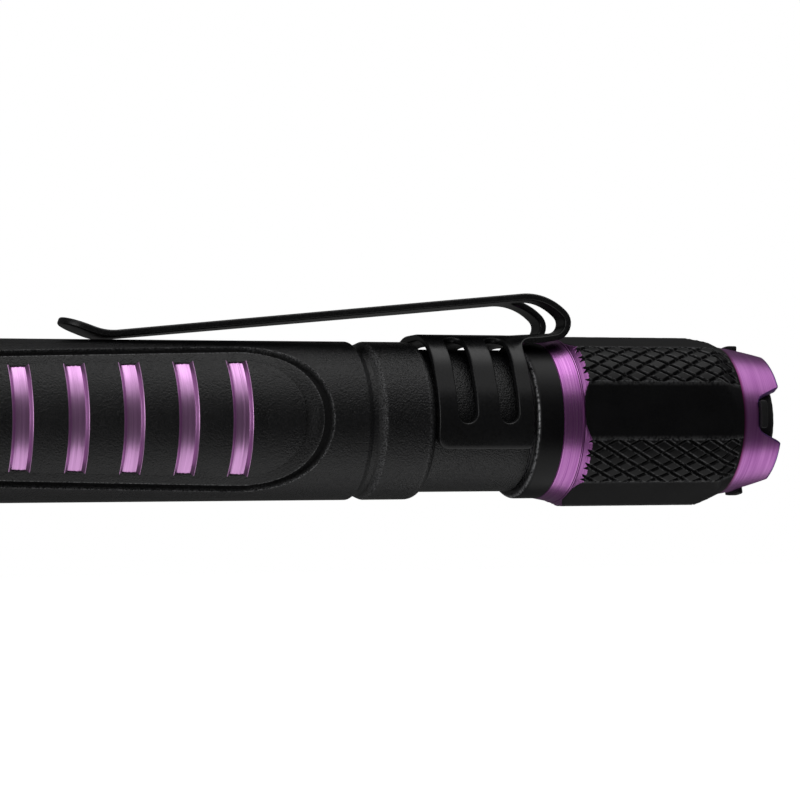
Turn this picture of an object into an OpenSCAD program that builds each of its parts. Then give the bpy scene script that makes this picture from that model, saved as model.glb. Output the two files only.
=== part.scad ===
// Pen-size ultraviolet banknote checker: a two-cell aluminium torch with a pocket clip and a tail button.
// The pen's axis is X, with the lamp facing -X and the tail button facing +X. The clip lies on the +Z side.
// The origin is on the axis, in the middle of the plain band between the ring groove and the clip neck.

/* [Barrel] */
// Outer diameter of the barrel
barrel_d = 15; // [14.8:0.1:15.2]
// Bore of the battery tube
bore_d = 10.8; // [10.7:0.1:10.9]
// Distance from the origin forward to the joint with the head
barrel_reach = 70; // [69.5:0.5:71]
// Diameter of the neck that carries the clip
neck_d = 13.6; // [13.4:0.1:13.7]
// Where the neck starts, behind the origin
neck_start = 2.75; // [2.6:0.05:2.8]
// Where the neck ends and the thread starts
neck_end = 12.55; // [12.4:0.05:12.6]
// Diameter of the threaded nose inside the tail cap
nose_d = 12.8; // [12.6:0.1:12.8]
// Where the threaded nose ends
nose_end = 19; // [18:0.5:19]

/* [Grip panels] */
// Number of purple grooves across each grip panel
stripe_count = 9; // [3:2:9]
// Distance from one purple groove to the next
stripe_pitch = 5.13; // [4.8:0.01:5.2]
// Width of a purple groove at the surface
stripe_w = 1.95; // [1.2:0.05:2.2]
// Depth of a purple groove
stripe_depth = 0.45; // [0.4:0.05:0.6]
// Centre of the groove nearest the tail, in front of the origin
stripe_first = 16.3; // [16:0.1:17]
// Half height of the raised pad at its tail end, across the pen
pad_half = 5.6; // [5:0.1:5.8]
// Half height of the panel at its tail end, across the pen
panel_half = 6.65; // [6.4:0.05:6.8]
// Height of the panel's front end as a share of its tail end
panel_taper = 0.83; // [0.75:0.01:1]
// Distance from the origin forward to the panel's rear end
panel_end = 7.55; // [7:0.05:8]

/* [Tail cap] */
// Where the tail cap starts
cap_start = 12.85; // [12.8:0.05:13]
// Diameter of the knurled grip
grip_d = 16.6; // [16.4:0.1:16.8]
// Half angle of each smooth flat on the grip
flat_half_angle = 20; // [18:1:22]
// Number of smooth flats round the grip
flat_count = 5; // [4:1:6]
// Rear end of the crown
crown_end = 39; // [38.5:0.1:39.5]
// Diameter of the crown at its tips
crown_d = 13.2; // [13:0.1:13.4]
// Number of notches in the crown
notch_count = 4; // [3:1:6]

/* [Pocket clip] */
// Thickness of the spring steel
clip_t = 0.65; // [0.5:0.05:0.7]
// Width of the clip at its bend
clip_w = 8.6; // [8:0.1:8.8]
// Width of the clip at its tip
clip_tip_w = 4.8; // [4:0.1:6]
// Angle below the middle at which the collar's edges stop
collar_open_angle = 23.5; // [20:0.5:30]

/* [Head] */
// Outer diameter of the head
head_d = 15.5; // [15.4:0.1:15.8]
// Length of the head shell
head_len = 19.8; // [19.6:0.1:20]
// Length of the front bezel in front of the head shell
bezel_len = 5.4; // [5.2:0.1:5.6]

/* [Tail button] */
// Travel of the tail button
button_travel = 1.2; // [0.8:0.1:1.4]
// Diameter of the rubber button
button_d = 10.8; // [10.6:0.1:10.9]

/* [Hidden] */

ROUND = 128;
TINY = 0.01;
RUN = 0.06;
SEAT = 0.03;

barrel_r = barrel_d / 2;
bore_r = bore_d / 2;
neck_r = neck_d / 2;
nose_r = nose_d / 2;
grip_r = grip_d / 2;
crown_r = crown_d / 2;
head_r = head_d / 2;
edge = 0.2;

// Ring groove in front of the plain band
ring_front = -4;
ring_floor_front = -3.5;
ring_floor_rear = -3;
ring_rear = -2.3;
ring_depth = 0.32;
shoulder_len = 0.9;
// O-ring grooves in the two threaded noses
o_ring_w = 1.2;
o_ring_depth = 0.5;
tail_o_ring_x = 13.7;
head_nose_len = 5;
head_o_ring_x = -72.4;
// Grip panels
panel_groove_w = 0.5;
panel_groove_depth = 0.6;
panel_groove_end_w = 0.85;
panel_round = 1.14;
band_depth = 0.3;
pad_end = panel_end + 2.4;
stripe_wall = 0.25;
panel_mid = stripe_first + stripe_pitch * (stripe_count - 1) / 2;
// AAA cells
cell_d = 10.5;
cell_len = 44.5;
cell_nub_d = 3.8;
cell_nub_len = 1;
rear_cell_end = 17.5;
front_cell_end = rear_cell_end - cell_len;
cell_front = front_cell_end - cell_len;
// Head
head_rear = -barrel_reach - 0.2;
head_front = head_rear - head_len;
bezel_front = head_front - bezel_len;
head_bore_r = 6.45;
bezel_seat_r = 6.95;
bezel_seat_len = 3;
driver_x = cell_front - 3.7;
driver_t = 1.2;
pill_rear = driver_x - driver_t;
pill_len = 6;
board_x = pill_rear - pill_len;
board_t = 1;
board_r = 5;
pill_cup_r = 4.6;
pill_cup_depth = 2.5;
driver_r = 6.2;
contact_spring_r = 2.4;
lens_t = 1.5;
lens_r = 6.3;
seal_t = 0.6;
seal_bore_r = 5.2;
lens_front = bezel_front + 2;
seal_rear = lens_front + lens_t + seal_t;
head_groove_count = 3;
head_groove_pitch = 1.9;
head_groove_w = 1;
head_groove_first = -72.6;
head_groove_depth = 0.5;
bezel_tip_r = 7;
bezel_notch_depth = 0.9;
bezel_notch_half = 1.6;
bezel_bore_r = 5.3;
bezel_cone_len = 3.4;
joint_gap = 0.1;
// Tail cap
cap_bore_r = nose_r + RUN;
cap_bore_end = 33.6;
purple_start = 15.5;
purple_end = 17.4;
purple_rear_r = 7.74;
grip_start = 18.1;
grip_end = 32.3;
crown_start = 34.5;
crown_base_r = 7.35;
crown_bore_r = 5.65;
notch_floor = 36.3;
notch_floor_half = 1.4;
notch_tip_half = 2.95;
flat_turn = 5;
notch_turn = 3;
// Tail switch
plate_x = 21.9;
plate_t = 0.5;
ring_x = 20;
ring_t = 1.8;
housing_x = plate_x + plate_t + SEAT;
housing_end = 32;
housing_bore_r = 3.8;
housing_lip = 0.8;
plunger_r = 3.5;
plunger_head_t = 1.25;
plunger_x = housing_end - housing_lip - plunger_head_t - SEAT;
plunger_stem_r = 2.6;
cavity_x = plunger_x - button_travel - 3.3;
washer_x = housing_end + SEAT;
washer_t = 0.85;
flange_x = washer_x + washer_t + SEAT;
boot_wall = 0.9;
boot_roof = 0.95;
boot_round = 0.7;
boot_top = crown_end - 0.05;
boot_r = button_d / 2;
lug_rear = notch_floor + 0.7;
lug_r = 7.15;
lug_half = 1.3;
washer_bore_r = 4.3;
ring_bore_r = 4.6;
ring_hole_r = 0.5;
ring_hole_at = 5.5;
switch_fit = 0.1;
pad_r = 3.8;
pad_t = 1.1;
// Springs
spring_wire = 0.5;
tail_spring_r = 3.3;
return_spring_r = 2.4;
// Pocket clip
collar_x = 2.85;
collar_end = 12.45;
collar_mid_r = neck_r + RUN + clip_t / 2;
plate_z = 7.85;
strip_z = 8.05;
plate_edge_r = 5.2;
plate_edge_angle = 22;
slot_starts = [4.75, 8.95];
slot_w = 1.95;
slot_low = -0.5;
slot_high_y = 3.3;
bend_slot_w = 3.6;
bend_slot_x = 13.5;
// Centres and radii of the bend's two arcs, in the plane of the pen's axis
bend_low_r = 1.2;
bend_low = [16.25, strip_z + bend_low_r];
bend_high_r = 5.4;
bend_blend_angle = 45;
bend_high = at(bend_low, bend_low_r - bend_high_r, bend_blend_angle);
arm_slope = 5.4;
split_x = 12.4;
split_gap = 0.05;
curl_x = -26.6;
curl_r = 5;
curl_angle = 20;
tip_len = 3;

// Point at a distance r and an angle a from a centre
function at(c, r, a) = [c[0] + r * cos(a), c[1] + r * sin(a)];

// Points along an arc, from angle a0 to a1
function arc(c, r, a0, a1, n) = [for (i = [0:n]) at(c, r, a0 + (a1 - a0) * i / n)];

// Turned solid about the pen's axis, from a profile of [radius, distance along the pen]
module turned(profile) {
    rotate([0, 90, 0])
        rotate_extrude($fn = ROUND)
            polygon(profile);
}

// Tube along the pen from x0 to x1
module tube(x0, x1, r_out, r_in) {
    turned([[r_in, x0], [r_out, x0], [r_out, x1], [r_in, x1]]);
}

// Solid rod along the pen from x0 to x1
module rod(x0, x1, r) {
    translate([x0, 0, 0])
        rotate([0, 90, 0])
            cylinder(h = x1 - x0, r = r, $fn = ROUND);
}

// Round ring with a circular section, for an O-ring
module o_ring(x, r_in, r_out) {
    section = (r_out - r_in) / 2;
    rotate([0, 90, 0])
        rotate_extrude($fn = ROUND)
            translate([r_in + section, x])
                circle(r = section, $fn = 24);
}

// Stack of closed wire rings joined by short bars, standing in for the turns of a coil spring
module spring(x0, x1, r, turns) {
    pitch = (x1 - x0 - spring_wire) / turns;
    wire_r = spring_wire / 2;
    for (i = [0:turns]) {
        rotate([0, 90, 0])
            rotate_extrude($fn = 48)
                translate([r, x0 + wire_r + i * pitch])
                    circle(r = wire_r, $fn = 16);
    }
    for (i = [0:turns - 1]) {
        rotate([180 * i, 0, 0])
            translate([x0 + wire_r + i * pitch, 0, r])
                rotate([0, 90, 0])
                    cylinder(h = pitch, r = wire_r * 0.9, $fn = 16);
    }
}

// Slab with the outline of a grip panel seen from the side: straight edges and round ends, lower towards the head
module panel_slab(half, end) {
    far = -2 * panel_mid + end;
    far_half = half * panel_taper;
    rotate([90, 0, 0])
        linear_extrude(height = 4 * barrel_r, center = true)
            polygon(concat(
                [for (a = [-90:10:90]) [-end - half * panel_round * (1 - cos(a)), half * sin(a)]],
                [for (a = [90:10:270]) [far + far_half * panel_round * (1 + cos(a)), far_half * sin(a)]]
            ));
}

// Thin skin of the barrel, down to a depth
module barrel_skin(depth) {
    tube(-barrel_reach - TINY, ring_front, barrel_r + 1, barrel_r - depth);
}

module stripe_grooves() {
    intersection() {
        for (i = [0:stripe_count - 1]) {
            x = -stripe_first - i * stripe_pitch;
            turned([
                [barrel_r + 0.1, x - stripe_w / 2],
                [barrel_r - stripe_depth, x - stripe_w / 2 + stripe_wall],
                [barrel_r - stripe_depth, x + stripe_w / 2 - stripe_wall],
                [barrel_r + 0.1, x + stripe_w / 2]
            ]);
        }
        panel_slab(pad_half, pad_end);
    }
}

module grip_panels() {
    intersection() {
        difference() {
            panel_slab(panel_half, panel_end);
            panel_slab(panel_half - panel_groove_w, panel_end + panel_groove_end_w);
        }
        barrel_skin(panel_groove_depth);
    }
    intersection() {
        difference() {
            panel_slab(panel_half - panel_groove_w, panel_end + panel_groove_end_w);
            panel_slab(pad_half, pad_end);
        }
        barrel_skin(band_depth);
    }
}

module o_ring_groove(x) {
    tube(x, x + o_ring_w, nose_r + 1, nose_r - o_ring_depth);
}

module barrel() {
    front_nose = -barrel_reach - head_nose_len;
    color("#1b1b1d")
        difference() {
            turned(concat(
                [
                    [bore_r, front_nose],
                    [nose_r, front_nose],
                    [nose_r, -barrel_reach],
                    [barrel_r - edge, -barrel_reach],
                    [barrel_r, -barrel_reach + edge],
                    [barrel_r, ring_front],
                    [barrel_r - ring_depth, ring_floor_front],
                    [barrel_r - ring_depth, ring_floor_rear],
                    [barrel_r, ring_rear]
                ],
                [for (a = [90:-15:0])
                    [neck_r + (barrel_r - neck_r) * sin(a), neck_start - shoulder_len * (1 - cos(a))]],
                [
                    [neck_r, neck_end],
                    [nose_r, neck_end],
                    [nose_r, nose_end],
                    [bore_r, nose_end]
                ]
            ));
            grip_panels();
            stripe_grooves();
            o_ring_groove(tail_o_ring_x);
            o_ring_groove(head_o_ring_x);
        }
}

// AAA cell with its flat end at x and its nub towards the head
module cell(x) {
    rod(x - cell_len + cell_nub_len, x, cell_d / 2);
    rod(x - cell_len, x - cell_len + cell_nub_len + TINY, cell_nub_d / 2);
}

module front_cell() {
    color("#4f5560")
        cell(front_cell_end);
}

module rear_cell() {
    color("#4f5560")
        cell(rear_cell_end);
}

module head_shell() {
    color("#1b1b1d")
        difference() {
            turned([
                [bezel_seat_r, head_front],
                [head_r, head_front],
                [head_r, head_rear - edge],
                [head_r - edge, head_rear],
                [head_bore_r, head_rear],
                [head_bore_r, head_front + bezel_seat_len],
                [bezel_seat_r, head_front + bezel_seat_len]
            ]);
            for (i = [0:head_groove_count - 1]) {
                x = head_groove_first - i * head_groove_pitch;
                tube(x - head_groove_w, x, head_r + 1, head_r - head_groove_depth);
            }
        }
}

module front_bezel() {
    rear_x = head_front - joint_gap;
    color("#9a5aa0")
        difference() {
            union() {
                turned([
                    [bezel_bore_r, bezel_front],
                    [bezel_tip_r, bezel_front],
                    [barrel_r, bezel_front + bezel_cone_len],
                    [barrel_r, rear_x],
                    [bezel_bore_r, rear_x]
                ]);
                tube(rear_x - TINY, head_front + bezel_seat_len - SEAT, bezel_seat_r - SEAT, bezel_bore_r);
            }
            rod(lens_front, head_front + bezel_seat_len, lens_r + SEAT);
            for (i = [0:notch_count - 1]) {
                rotate([90 * i, 0, 0])
                    translate([bezel_front - 1, -bezel_notch_half, bezel_bore_r - 1])
                        cube([1 + bezel_notch_depth, 2 * bezel_notch_half, barrel_r]);
            }
        }
}

module window_lens() {
    color("#c8c4e6")
        rod(lens_front + SEAT, lens_front + SEAT + lens_t, lens_r);
}

module window_seal() {
    color("#202022")
        tube(lens_front + 2 * SEAT + lens_t, seal_rear + SEAT, lens_r, seal_bore_r);
}

module reflector() {
    rim_x = seal_rear + 2 * SEAT;
    base_x = board_x - board_t - 0.5;
    led_hole_r = 1.9;
    mouth_r = 5;
    rim_r = 6.05;
    rim_t = 1;
    skirt_r = 5.6;
    base_r = 2.6;
    bowl = [for (t = [0:0.125:1]) [led_hole_r + (mouth_r - led_hole_r) * sqrt(t), base_x + (rim_x - base_x) * t]];
    color("#d8d8dc")
        turned(concat(
            bowl,
            [
                [rim_r, rim_x],
                [rim_r, rim_x + rim_t],
                [skirt_r, rim_x + rim_t + edge],
                [base_r, base_x]
            ]
        ));
}

module uv_led() {
    base = board_x - board_t;
    package_w = 2.5;
    package_t = 0.8;
    dome_r = 1.05;
    color("#e8e2c8")
        union() {
            translate([base - package_t, -package_w / 2, -package_w / 2])
                cube([package_t, package_w, package_w]);
            translate([base - package_t, 0, 0])
                intersection() {
                    sphere(r = dome_r, $fn = 48);
                    translate([-2 * dome_r, -2 * dome_r, -2 * dome_r])
                        cube([2 * dome_r + package_t / 2, 4 * dome_r, 4 * dome_r]);
                }
        }
}

module led_board() {
    color("#e6e6e2")
        rod(board_x - board_t, board_x, board_r);
}

module heat_sink_pill() {
    color("#b98b3e")
        difference() {
            rod(board_x, pill_rear, head_bore_r - SEAT);
            rod(pill_rear - pill_cup_depth, pill_rear + 1, pill_cup_r);
        }
}

module driver_board() {
    chip = [1.2, 3, 2];
    color("#2f6b3c")
        union() {
            rod(pill_rear, driver_x, driver_r);
            translate([pill_rear - chip[0], -chip[1] / 2, -chip[2] / 2])
                cube(chip + [TINY, 0, 0]);
        }
}

module front_contact_spring() {
    color("#d7b56a")
        spring(driver_x, cell_front, contact_spring_r, 3);
}

module head_o_ring() {
    color("#151516")
        o_ring(head_o_ring_x + o_ring_w / 2, nose_r - o_ring_depth, nose_r + 0.04);
}

module tail_o_ring() {
    color("#151516")
        o_ring(tail_o_ring_x + o_ring_w / 2, nose_r - o_ring_depth, nose_r + 0.04);
}

// Half of the collar's section as arcs of [centre, start angle, end angle, radius]
function collar_half() =
    let (cz = plate_z - plate_edge_r)
    let (cy = (collar_mid_r - plate_edge_r - cz * sin(plate_edge_angle)) / cos(plate_edge_angle))
    [
        [[0, 0], -collar_open_angle, plate_edge_angle, collar_mid_r, 10],
        [[cy, cz], plate_edge_angle, 90, plate_edge_r, 6]
    ];

function collar_edge(side) = [for (s = collar_half()) each arc(s[0], s[3] + side * clip_t / 2, s[1], s[2], s[4])];

function mirrored(points) = [for (i = [len(points) - 1:-1:0]) [-points[i][0], points[i][1]]];

function reversed(points) = [for (i = [len(points) - 1:-1:0]) points[i]];

// Open collar with a raised, gently arched top, as an outline across the pen
module collar_section() {
    outer = collar_edge(1);
    inner = collar_edge(-1);
    polygon(concat(outer, mirrored(outer), [for (p = inner) [-p[0], p[1]]], reversed(inner)));
}

// Point of the arm's middle line at a distance along the pen
function arm_end() = at(bend_high, bend_high_r, 90 + arm_slope);
function arm_point(x) = [x, arm_end()[1] + (x - arm_end()[0]) * tan(arm_slope)];

// Edge of the steel strip on one side of its middle line, from the collar's top round to the split
function strip_edge(side) =
    let (off = side * clip_t / 2)
    concat(
        [at([collar_end - 1, strip_z], off, -90)],
        arc(bend_low, bend_low_r + off, -90, bend_blend_angle, 10),
        arc(bend_high, bend_high_r + off, bend_blend_angle, 90 + arm_slope, 8),
        [at(arm_point(split_x), off, 90 + arm_slope)]
    );

// Edge of the spring arm on one side of its middle line, from the split to the curled tip
function arm_edge(side) =
    let (off = side * clip_t / 2)
    let (centre = at(arm_point(curl_x), curl_r, 90 + arm_slope))
    let (curl_out = at(centre, -curl_r, 90 - curl_angle))
    concat(
        [at(arm_point(split_x - split_gap), off, 90 + arm_slope)],
        arc(centre, -curl_r + off, 90 + arm_slope, 90 - curl_angle, 6),
        [at(at(curl_out, tip_len, 180 - curl_angle), off, 90 - curl_angle)]
    );

// Flat strip bent in the plane of the pen's axis
module bent_strip(outer, inner) {
    rotate([90, 0, 0])
        linear_extrude(height = clip_w, center = true)
            polygon(concat(outer, reversed(inner)));
}

module collar_slot(x) {
    slot_r = slot_w / 2;
    translate([x, slot_high_y, slot_low + slot_r])
        cube([slot_w, barrel_r, barrel_d]);
    translate([x + slot_r, slot_high_y, slot_low + slot_r])
        rotate([-90, 0, 0])
            cylinder(h = barrel_r, r = slot_r, $fn = 48);
}

module clip_collar() {
    color("#161617")
        difference() {
            union() {
                translate([collar_x, 0, 0])
                    rotate([90, 0, 90])
                        linear_extrude(height = collar_end - collar_x)
                            collar_section();
                bent_strip(strip_edge(1), strip_edge(-1));
            }
            for (x = slot_starts) {
                collar_slot(x);
                mirror([0, 1, 0])
                    collar_slot(x);
            }
            translate([bend_slot_x + bend_slot_w / 2, 0, 0])
                cylinder(h = 20, r = bend_slot_w / 2, $fn = 48);
            translate([bend_slot_x + bend_slot_w / 2, -bend_slot_w / 2, 0])
                cube([10, bend_slot_w, 20]);
        }
}

module clip_arm() {
    wide = clip_w / 2;
    narrow = clip_tip_w / 2;
    taper_x = 3;
    tip_x = curl_x - 5 + narrow;
    color("#161617")
        intersection() {
            bent_strip(arm_edge(1), arm_edge(-1));
            linear_extrude(height = 20)
                polygon(concat(
                    [[split_x + 2, -wide], [split_x + 2, wide], [taper_x, wide]],
                    arc([tip_x, 0], narrow, 90, 270, 12),
                    [[taper_x, -wide]]
                ));
        }
}

// Outline of a crown notch, widening towards the tips, cut outwards from the bore
module crown_notch() {
    past = 0.5;
    past_x = crown_end + past;
    past_half = notch_tip_half + past * (notch_tip_half - notch_floor_half) / (crown_end - notch_floor);
    translate([0, 1 - crown_bore_r, 0])
        rotate([90, 0, 0])
            linear_extrude(height = crown_r)
                polygon([
                    [notch_floor, -notch_floor_half],
                    [past_x, -past_half],
                    [past_x, past_half],
                    [notch_floor, notch_floor_half]
                ]);
}

module round_the_crown() {
    for (i = [0:notch_count - 1]) {
        rotate([360 * i / notch_count - notch_turn, 0, 0])
            children();
    }
}

module tail_cap() {
    flat_y = grip_r * cos(flat_half_angle);
    lip_r = barrel_r;
    lip_round = 0.5;
    color("#1b1b1d")
        difference() {
            turned(concat(
                [[cap_bore_r, cap_start]],
                [for (a = [0:18:90])
                    [lip_r - lip_round * (1 - sin(a)), cap_start + lip_round * (1 - cos(a))]],
                [
                    [lip_r, purple_start],
                    [purple_rear_r, purple_end],
                    [grip_r, grip_start],
                    [grip_r, grip_end],
                    [crown_base_r, crown_start],
                    [crown_r, crown_end],
                    [crown_bore_r, crown_end],
                    [crown_bore_r, cap_bore_end],
                    [cap_bore_r, cap_bore_end]
                ]
            ));
            for (i = [0:flat_count - 1]) {
                rotate([360 * i / flat_count - flat_turn, 0, 0])
                    translate([purple_end - edge, -flat_y - barrel_r, -barrel_r])
                        cube([crown_start - purple_end, barrel_r, barrel_d]);
            }
            round_the_crown()
                crown_notch();
        }
}

module tail_spring() {
    color("#d7b56a")
        spring(rear_cell_end, plate_x, tail_spring_r, 3);
}

module contact_plate() {
    color("#c9a24e")
        rod(plate_x, plate_x + plate_t, cap_bore_r - switch_fit);
}

module switch_retaining_ring() {
    color("#b98b3e")
        difference() {
            tube(ring_x, ring_x + ring_t, cap_bore_r, ring_bore_r);
            for (a = [0, 180]) {
                rotate([a, 0, 0])
                    translate([ring_x - 1, 0, ring_hole_at])
                        rotate([0, 90, 0])
                            cylinder(h = ring_t + 2, r = ring_hole_r, $fn = 32);
            }
        }
}

module switch_housing() {
    color("#2a2a2c")
        turned([
            [0, housing_x],
            [cap_bore_r - switch_fit, housing_x],
            [cap_bore_r - switch_fit, housing_end],
            [plunger_stem_r + switch_fit, housing_end],
            [plunger_stem_r + switch_fit, housing_end - housing_lip],
            [housing_bore_r, housing_end - housing_lip],
            [housing_bore_r, cavity_x],
            [0, cavity_x]
        ]);
}

module switch_return_spring() {
    color("#c8c8cc")
        spring(cavity_x, plunger_x, return_spring_r, 4);
}

module switch_plunger() {
    pad_x = boot_top - boot_roof - pad_t;
    color("#d9d9d4")
        turned([
            [0, plunger_x],
            [plunger_r, plunger_x],
            [plunger_r, plunger_x + plunger_head_t],
            [plunger_stem_r, plunger_x + plunger_head_t],
            [plunger_stem_r, pad_x],
            [pad_r, pad_x],
            [pad_r, boot_top - boot_roof - SEAT],
            [0, boot_top - boot_roof - SEAT]
        ]);
}

module boot_washer() {
    color("#9a9a9e")
        tube(washer_x, washer_x + washer_t, cap_bore_r - switch_fit, washer_bore_r);
}

module switch_boot() {
    flange_rear = cap_bore_end - SEAT;
    color("#121213")
        union() {
            turned([
                [0, boot_top],
                [boot_r - boot_round, boot_top],
                [boot_r - edge, boot_top - edge],
                [boot_r, boot_top - boot_round],
                [boot_r, flange_rear],
                [cap_bore_r - switch_fit, flange_rear],
                [cap_bore_r - switch_fit, flange_x],
                [boot_r - boot_wall, flange_x],
                [boot_r - boot_wall, boot_top - boot_roof],
                [0, boot_top - boot_roof]
            ]);
            round_the_crown()
                translate([notch_floor + SEAT, -lug_r, -lug_half])
                    cube([lug_rear - notch_floor - SEAT, lug_r - boot_r + boot_wall / 2, 2 * lug_half]);
        }
}

barrel();
front_cell();
rear_cell();
head_shell();
front_bezel();
window_lens();
window_seal();
reflector();
uv_led();
led_board();
heat_sink_pill();
driver_board();
front_contact_spring();
head_o_ring();
tail_o_ring();
clip_collar();
clip_arm();
tail_cap();
tail_spring();
contact_plate();
switch_retaining_ring();
switch_housing();
switch_return_spring();
switch_plunger();
boot_washer();
switch_boot();
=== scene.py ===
"""Looks of a pen-size ultraviolet banknote checker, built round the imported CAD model.

Lengths are in millimetres until a mesh is made. The pen's axis is X, the tail button faces +X and the clip
is on +Z.
"""

import math

import bpy
import numpy as np
from mathutils import Matrix, Vector
from mathutils.geometry import delaunay_2d_cdt


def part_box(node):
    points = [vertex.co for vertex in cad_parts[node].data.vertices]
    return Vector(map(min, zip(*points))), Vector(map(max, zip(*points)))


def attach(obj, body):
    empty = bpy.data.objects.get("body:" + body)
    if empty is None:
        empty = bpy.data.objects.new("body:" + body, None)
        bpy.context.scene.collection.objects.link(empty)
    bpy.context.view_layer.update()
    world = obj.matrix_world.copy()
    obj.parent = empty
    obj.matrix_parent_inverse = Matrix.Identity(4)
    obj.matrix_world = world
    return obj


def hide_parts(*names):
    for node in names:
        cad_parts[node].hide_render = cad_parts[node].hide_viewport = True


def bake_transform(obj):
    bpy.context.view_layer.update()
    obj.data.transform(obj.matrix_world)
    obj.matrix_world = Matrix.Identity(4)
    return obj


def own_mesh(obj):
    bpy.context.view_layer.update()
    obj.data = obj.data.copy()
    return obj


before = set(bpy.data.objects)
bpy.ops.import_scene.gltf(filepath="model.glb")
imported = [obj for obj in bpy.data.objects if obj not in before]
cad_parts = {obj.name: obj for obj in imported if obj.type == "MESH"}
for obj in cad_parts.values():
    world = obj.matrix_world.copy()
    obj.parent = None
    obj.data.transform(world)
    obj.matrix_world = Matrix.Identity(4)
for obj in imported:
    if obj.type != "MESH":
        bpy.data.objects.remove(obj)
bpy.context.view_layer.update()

MM = 0.001
TAU = 2 * math.pi


# ---------------------------------------------------------------- sizes, in millimetres
def box_mm(node):
    low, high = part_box(node)
    return [c / MM for c in low], [c / MM for c in high]


BARREL_LO, BARREL_HI = box_mm("barrel")
CAP_LO, CAP_HI = box_mm("tail_cap")
HEAD_LO, HEAD_HI = box_mm("head_shell")
BEZEL_LO = box_mm("front_bezel")[0]
COLLAR_FRONT = box_mm("clip_collar")[0][0]
LENS_LO, LENS_HI = box_mm("window_lens")
REFLECTOR_LO, REFLECTOR_HI = box_mm("reflector")
LED_HI = box_mm("uv_led")[1]
BOOT_LO, BOOT_HI = box_mm("switch_boot")

BARREL_R = BARREL_HI[2]
GRIP_R = max(CAP_HI[1], CAP_HI[2], -CAP_LO[1], -CAP_LO[2])
HEAD_R = HEAD_HI[2]
NECK_R = 6.8
NECK_TO = 12.55
RING_GROOVE = 0.36
HEAD_SEAT = -70.0
NOSE_R = 6.4
BORE_R = 5.4
THREAD_PITCH = 1.0
THREAD_DEPTH = 0.4

# Grip panels: the middle lines of their round ends, and half widths on the unrolled surface
PANEL_REAR = -15.8
PANEL_FRONT = -57.84
PANEL_TAPER = 0.0058
GROOVE_IN = 7.3
GROOVE_OUT = 8.27
GROOVE_DEPTH = 0.6
PAD_HALF = 6.0
PAD_ROUND = 5.6
BAND_DEPTH = 0.4
PANEL_SIDE = 8.6
STRIPES = [-16.3 - 5.13 * i for i in range(9)]
STRIPE_HALF = 0.975
STRIPE_DEPTH = 0.38

# Tail cap
CAP_BORE_R = 6.46
PURPLE_FROM = 15.5
PURPLE_TO = 17.4
CHAMFER_FROM_R = 7.86
GRIP_FROM = 18.15
GRIP_TO = 32.3
CROWN_FROM = 34.5
CROWN_BASE_R = 7.35
FLATS = 5
FLAT_HALF = 20
FLAT_TURN = 5
FLAT_DIST = GRIP_R * math.cos(math.radians(FLAT_HALF))
KNURL_AXIAL = 2.45
KNURL_ROUND = 37
KNURL_HALF_W = 0.19
KNURL_DEPTH = 0.26
KNURL_TO = 34.2
CROWN_TIP_R = 6.6
CROWN_BORE_R = 5.65
NOTCH_FLOOR = 36.3
NOTCH_TURN = 3
NOTCH_TIP_ROUND = 0.3


# ---------------------------------------------------------------- mesh helpers
def smooth(t):
    t = np.clip(t, 0, 1)
    return t * t * (3 - 2 * t)


def bell(t, width):
    """1 where t is 0, falling away on both sides."""
    return np.exp(-((t / width) ** 2))


def new_piece(name, verts, faces, materials, face_slots=None, fields=None, sharp=None):
    """A mesh from corners in millimetres, with a material for each face and named numbers for each corner."""
    mesh = bpy.data.meshes.new(name)
    mesh.from_pydata((np.asarray(verts) * MM).reshape(-1, 3).tolist(), [], [list(f) for f in faces])
    for m in materials:
        mesh.materials.append(m)
    if face_slots is not None:
        mesh.polygons.foreach_set("material_index", np.asarray(face_slots, np.int32).reshape(-1))
    for key, values in (fields or {}).items():
        values = np.asarray(values, np.float32).reshape(-1)
        mesh.attributes.new(key, "FLOAT", "POINT").data.foreach_set("value", values)
    mesh.polygons.foreach_set("use_smooth", [True] * len(mesh.polygons))
    if sharp is not None:
        mesh.set_sharp_from_angle(angle=math.radians(sharp))
    mesh.validate()
    piece = bpy.data.objects.new(name, mesh)
    bpy.context.scene.collection.objects.link(piece)
    return piece


def ride(piece, body, slot, *nodes):
    """Fixes a piece to a body and hides the CAD nodes that it replaces; its slot argument is not used."""
    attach(piece, body)
    if nodes:
        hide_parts(*nodes)


def grid_faces(rows, cols, closed_rows):
    """Quads between the rows of a grid whose columns go all the way round."""
    i = np.arange(rows if closed_rows else rows - 1)
    j = np.arange(cols)
    ii, jj = np.meshgrid(i, j, indexing="ij")
    i2, j2 = (ii + 1) % rows, (jj + 1) % cols
    return np.stack([ii * cols + jj, ii * cols + j2, i2 * cols + j2, i2 * cols + jj], -1).reshape(-1, 4)


def ring_points(x, radius, angle):
    """Corners at distances x along the pen and at an angle round it, from -Y over the top."""
    return np.stack([x, -radius * np.cos(angle), radius * np.sin(angle)], -1)


def lathe_grid(xs, rs, segments):
    """Distances, radii and angles of an outline's corners, carried round the pen."""
    x, angle = np.meshgrid(np.array(xs), np.arange(segments) * TAU / segments, indexing="ij")
    return x, np.repeat(np.array(rs)[:, None], segments, 1), angle


def rounded(points, radius, steps=4):
    """The open outline with each inner corner rounded by up to a radius."""
    out = [points[0]]
    for a, b, c in zip(points, points[1:], points[2:]):
        a, b, c = np.array(a, float), np.array(b, float), np.array(c, float)
        da, dc = np.linalg.norm(a - b), np.linalg.norm(c - b)
        cut = min(radius, 0.45 * da, 0.45 * dc)
        p, q = b + (a - b) / da * cut, b + (c - b) / dc * cut
        for k in range(steps + 1):
            t = k / steps
            out.append(tuple((1 - t) ** 2 * p + 2 * t * (1 - t) * b + t * t * q))
    out.append(points[-1])
    return out


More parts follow.
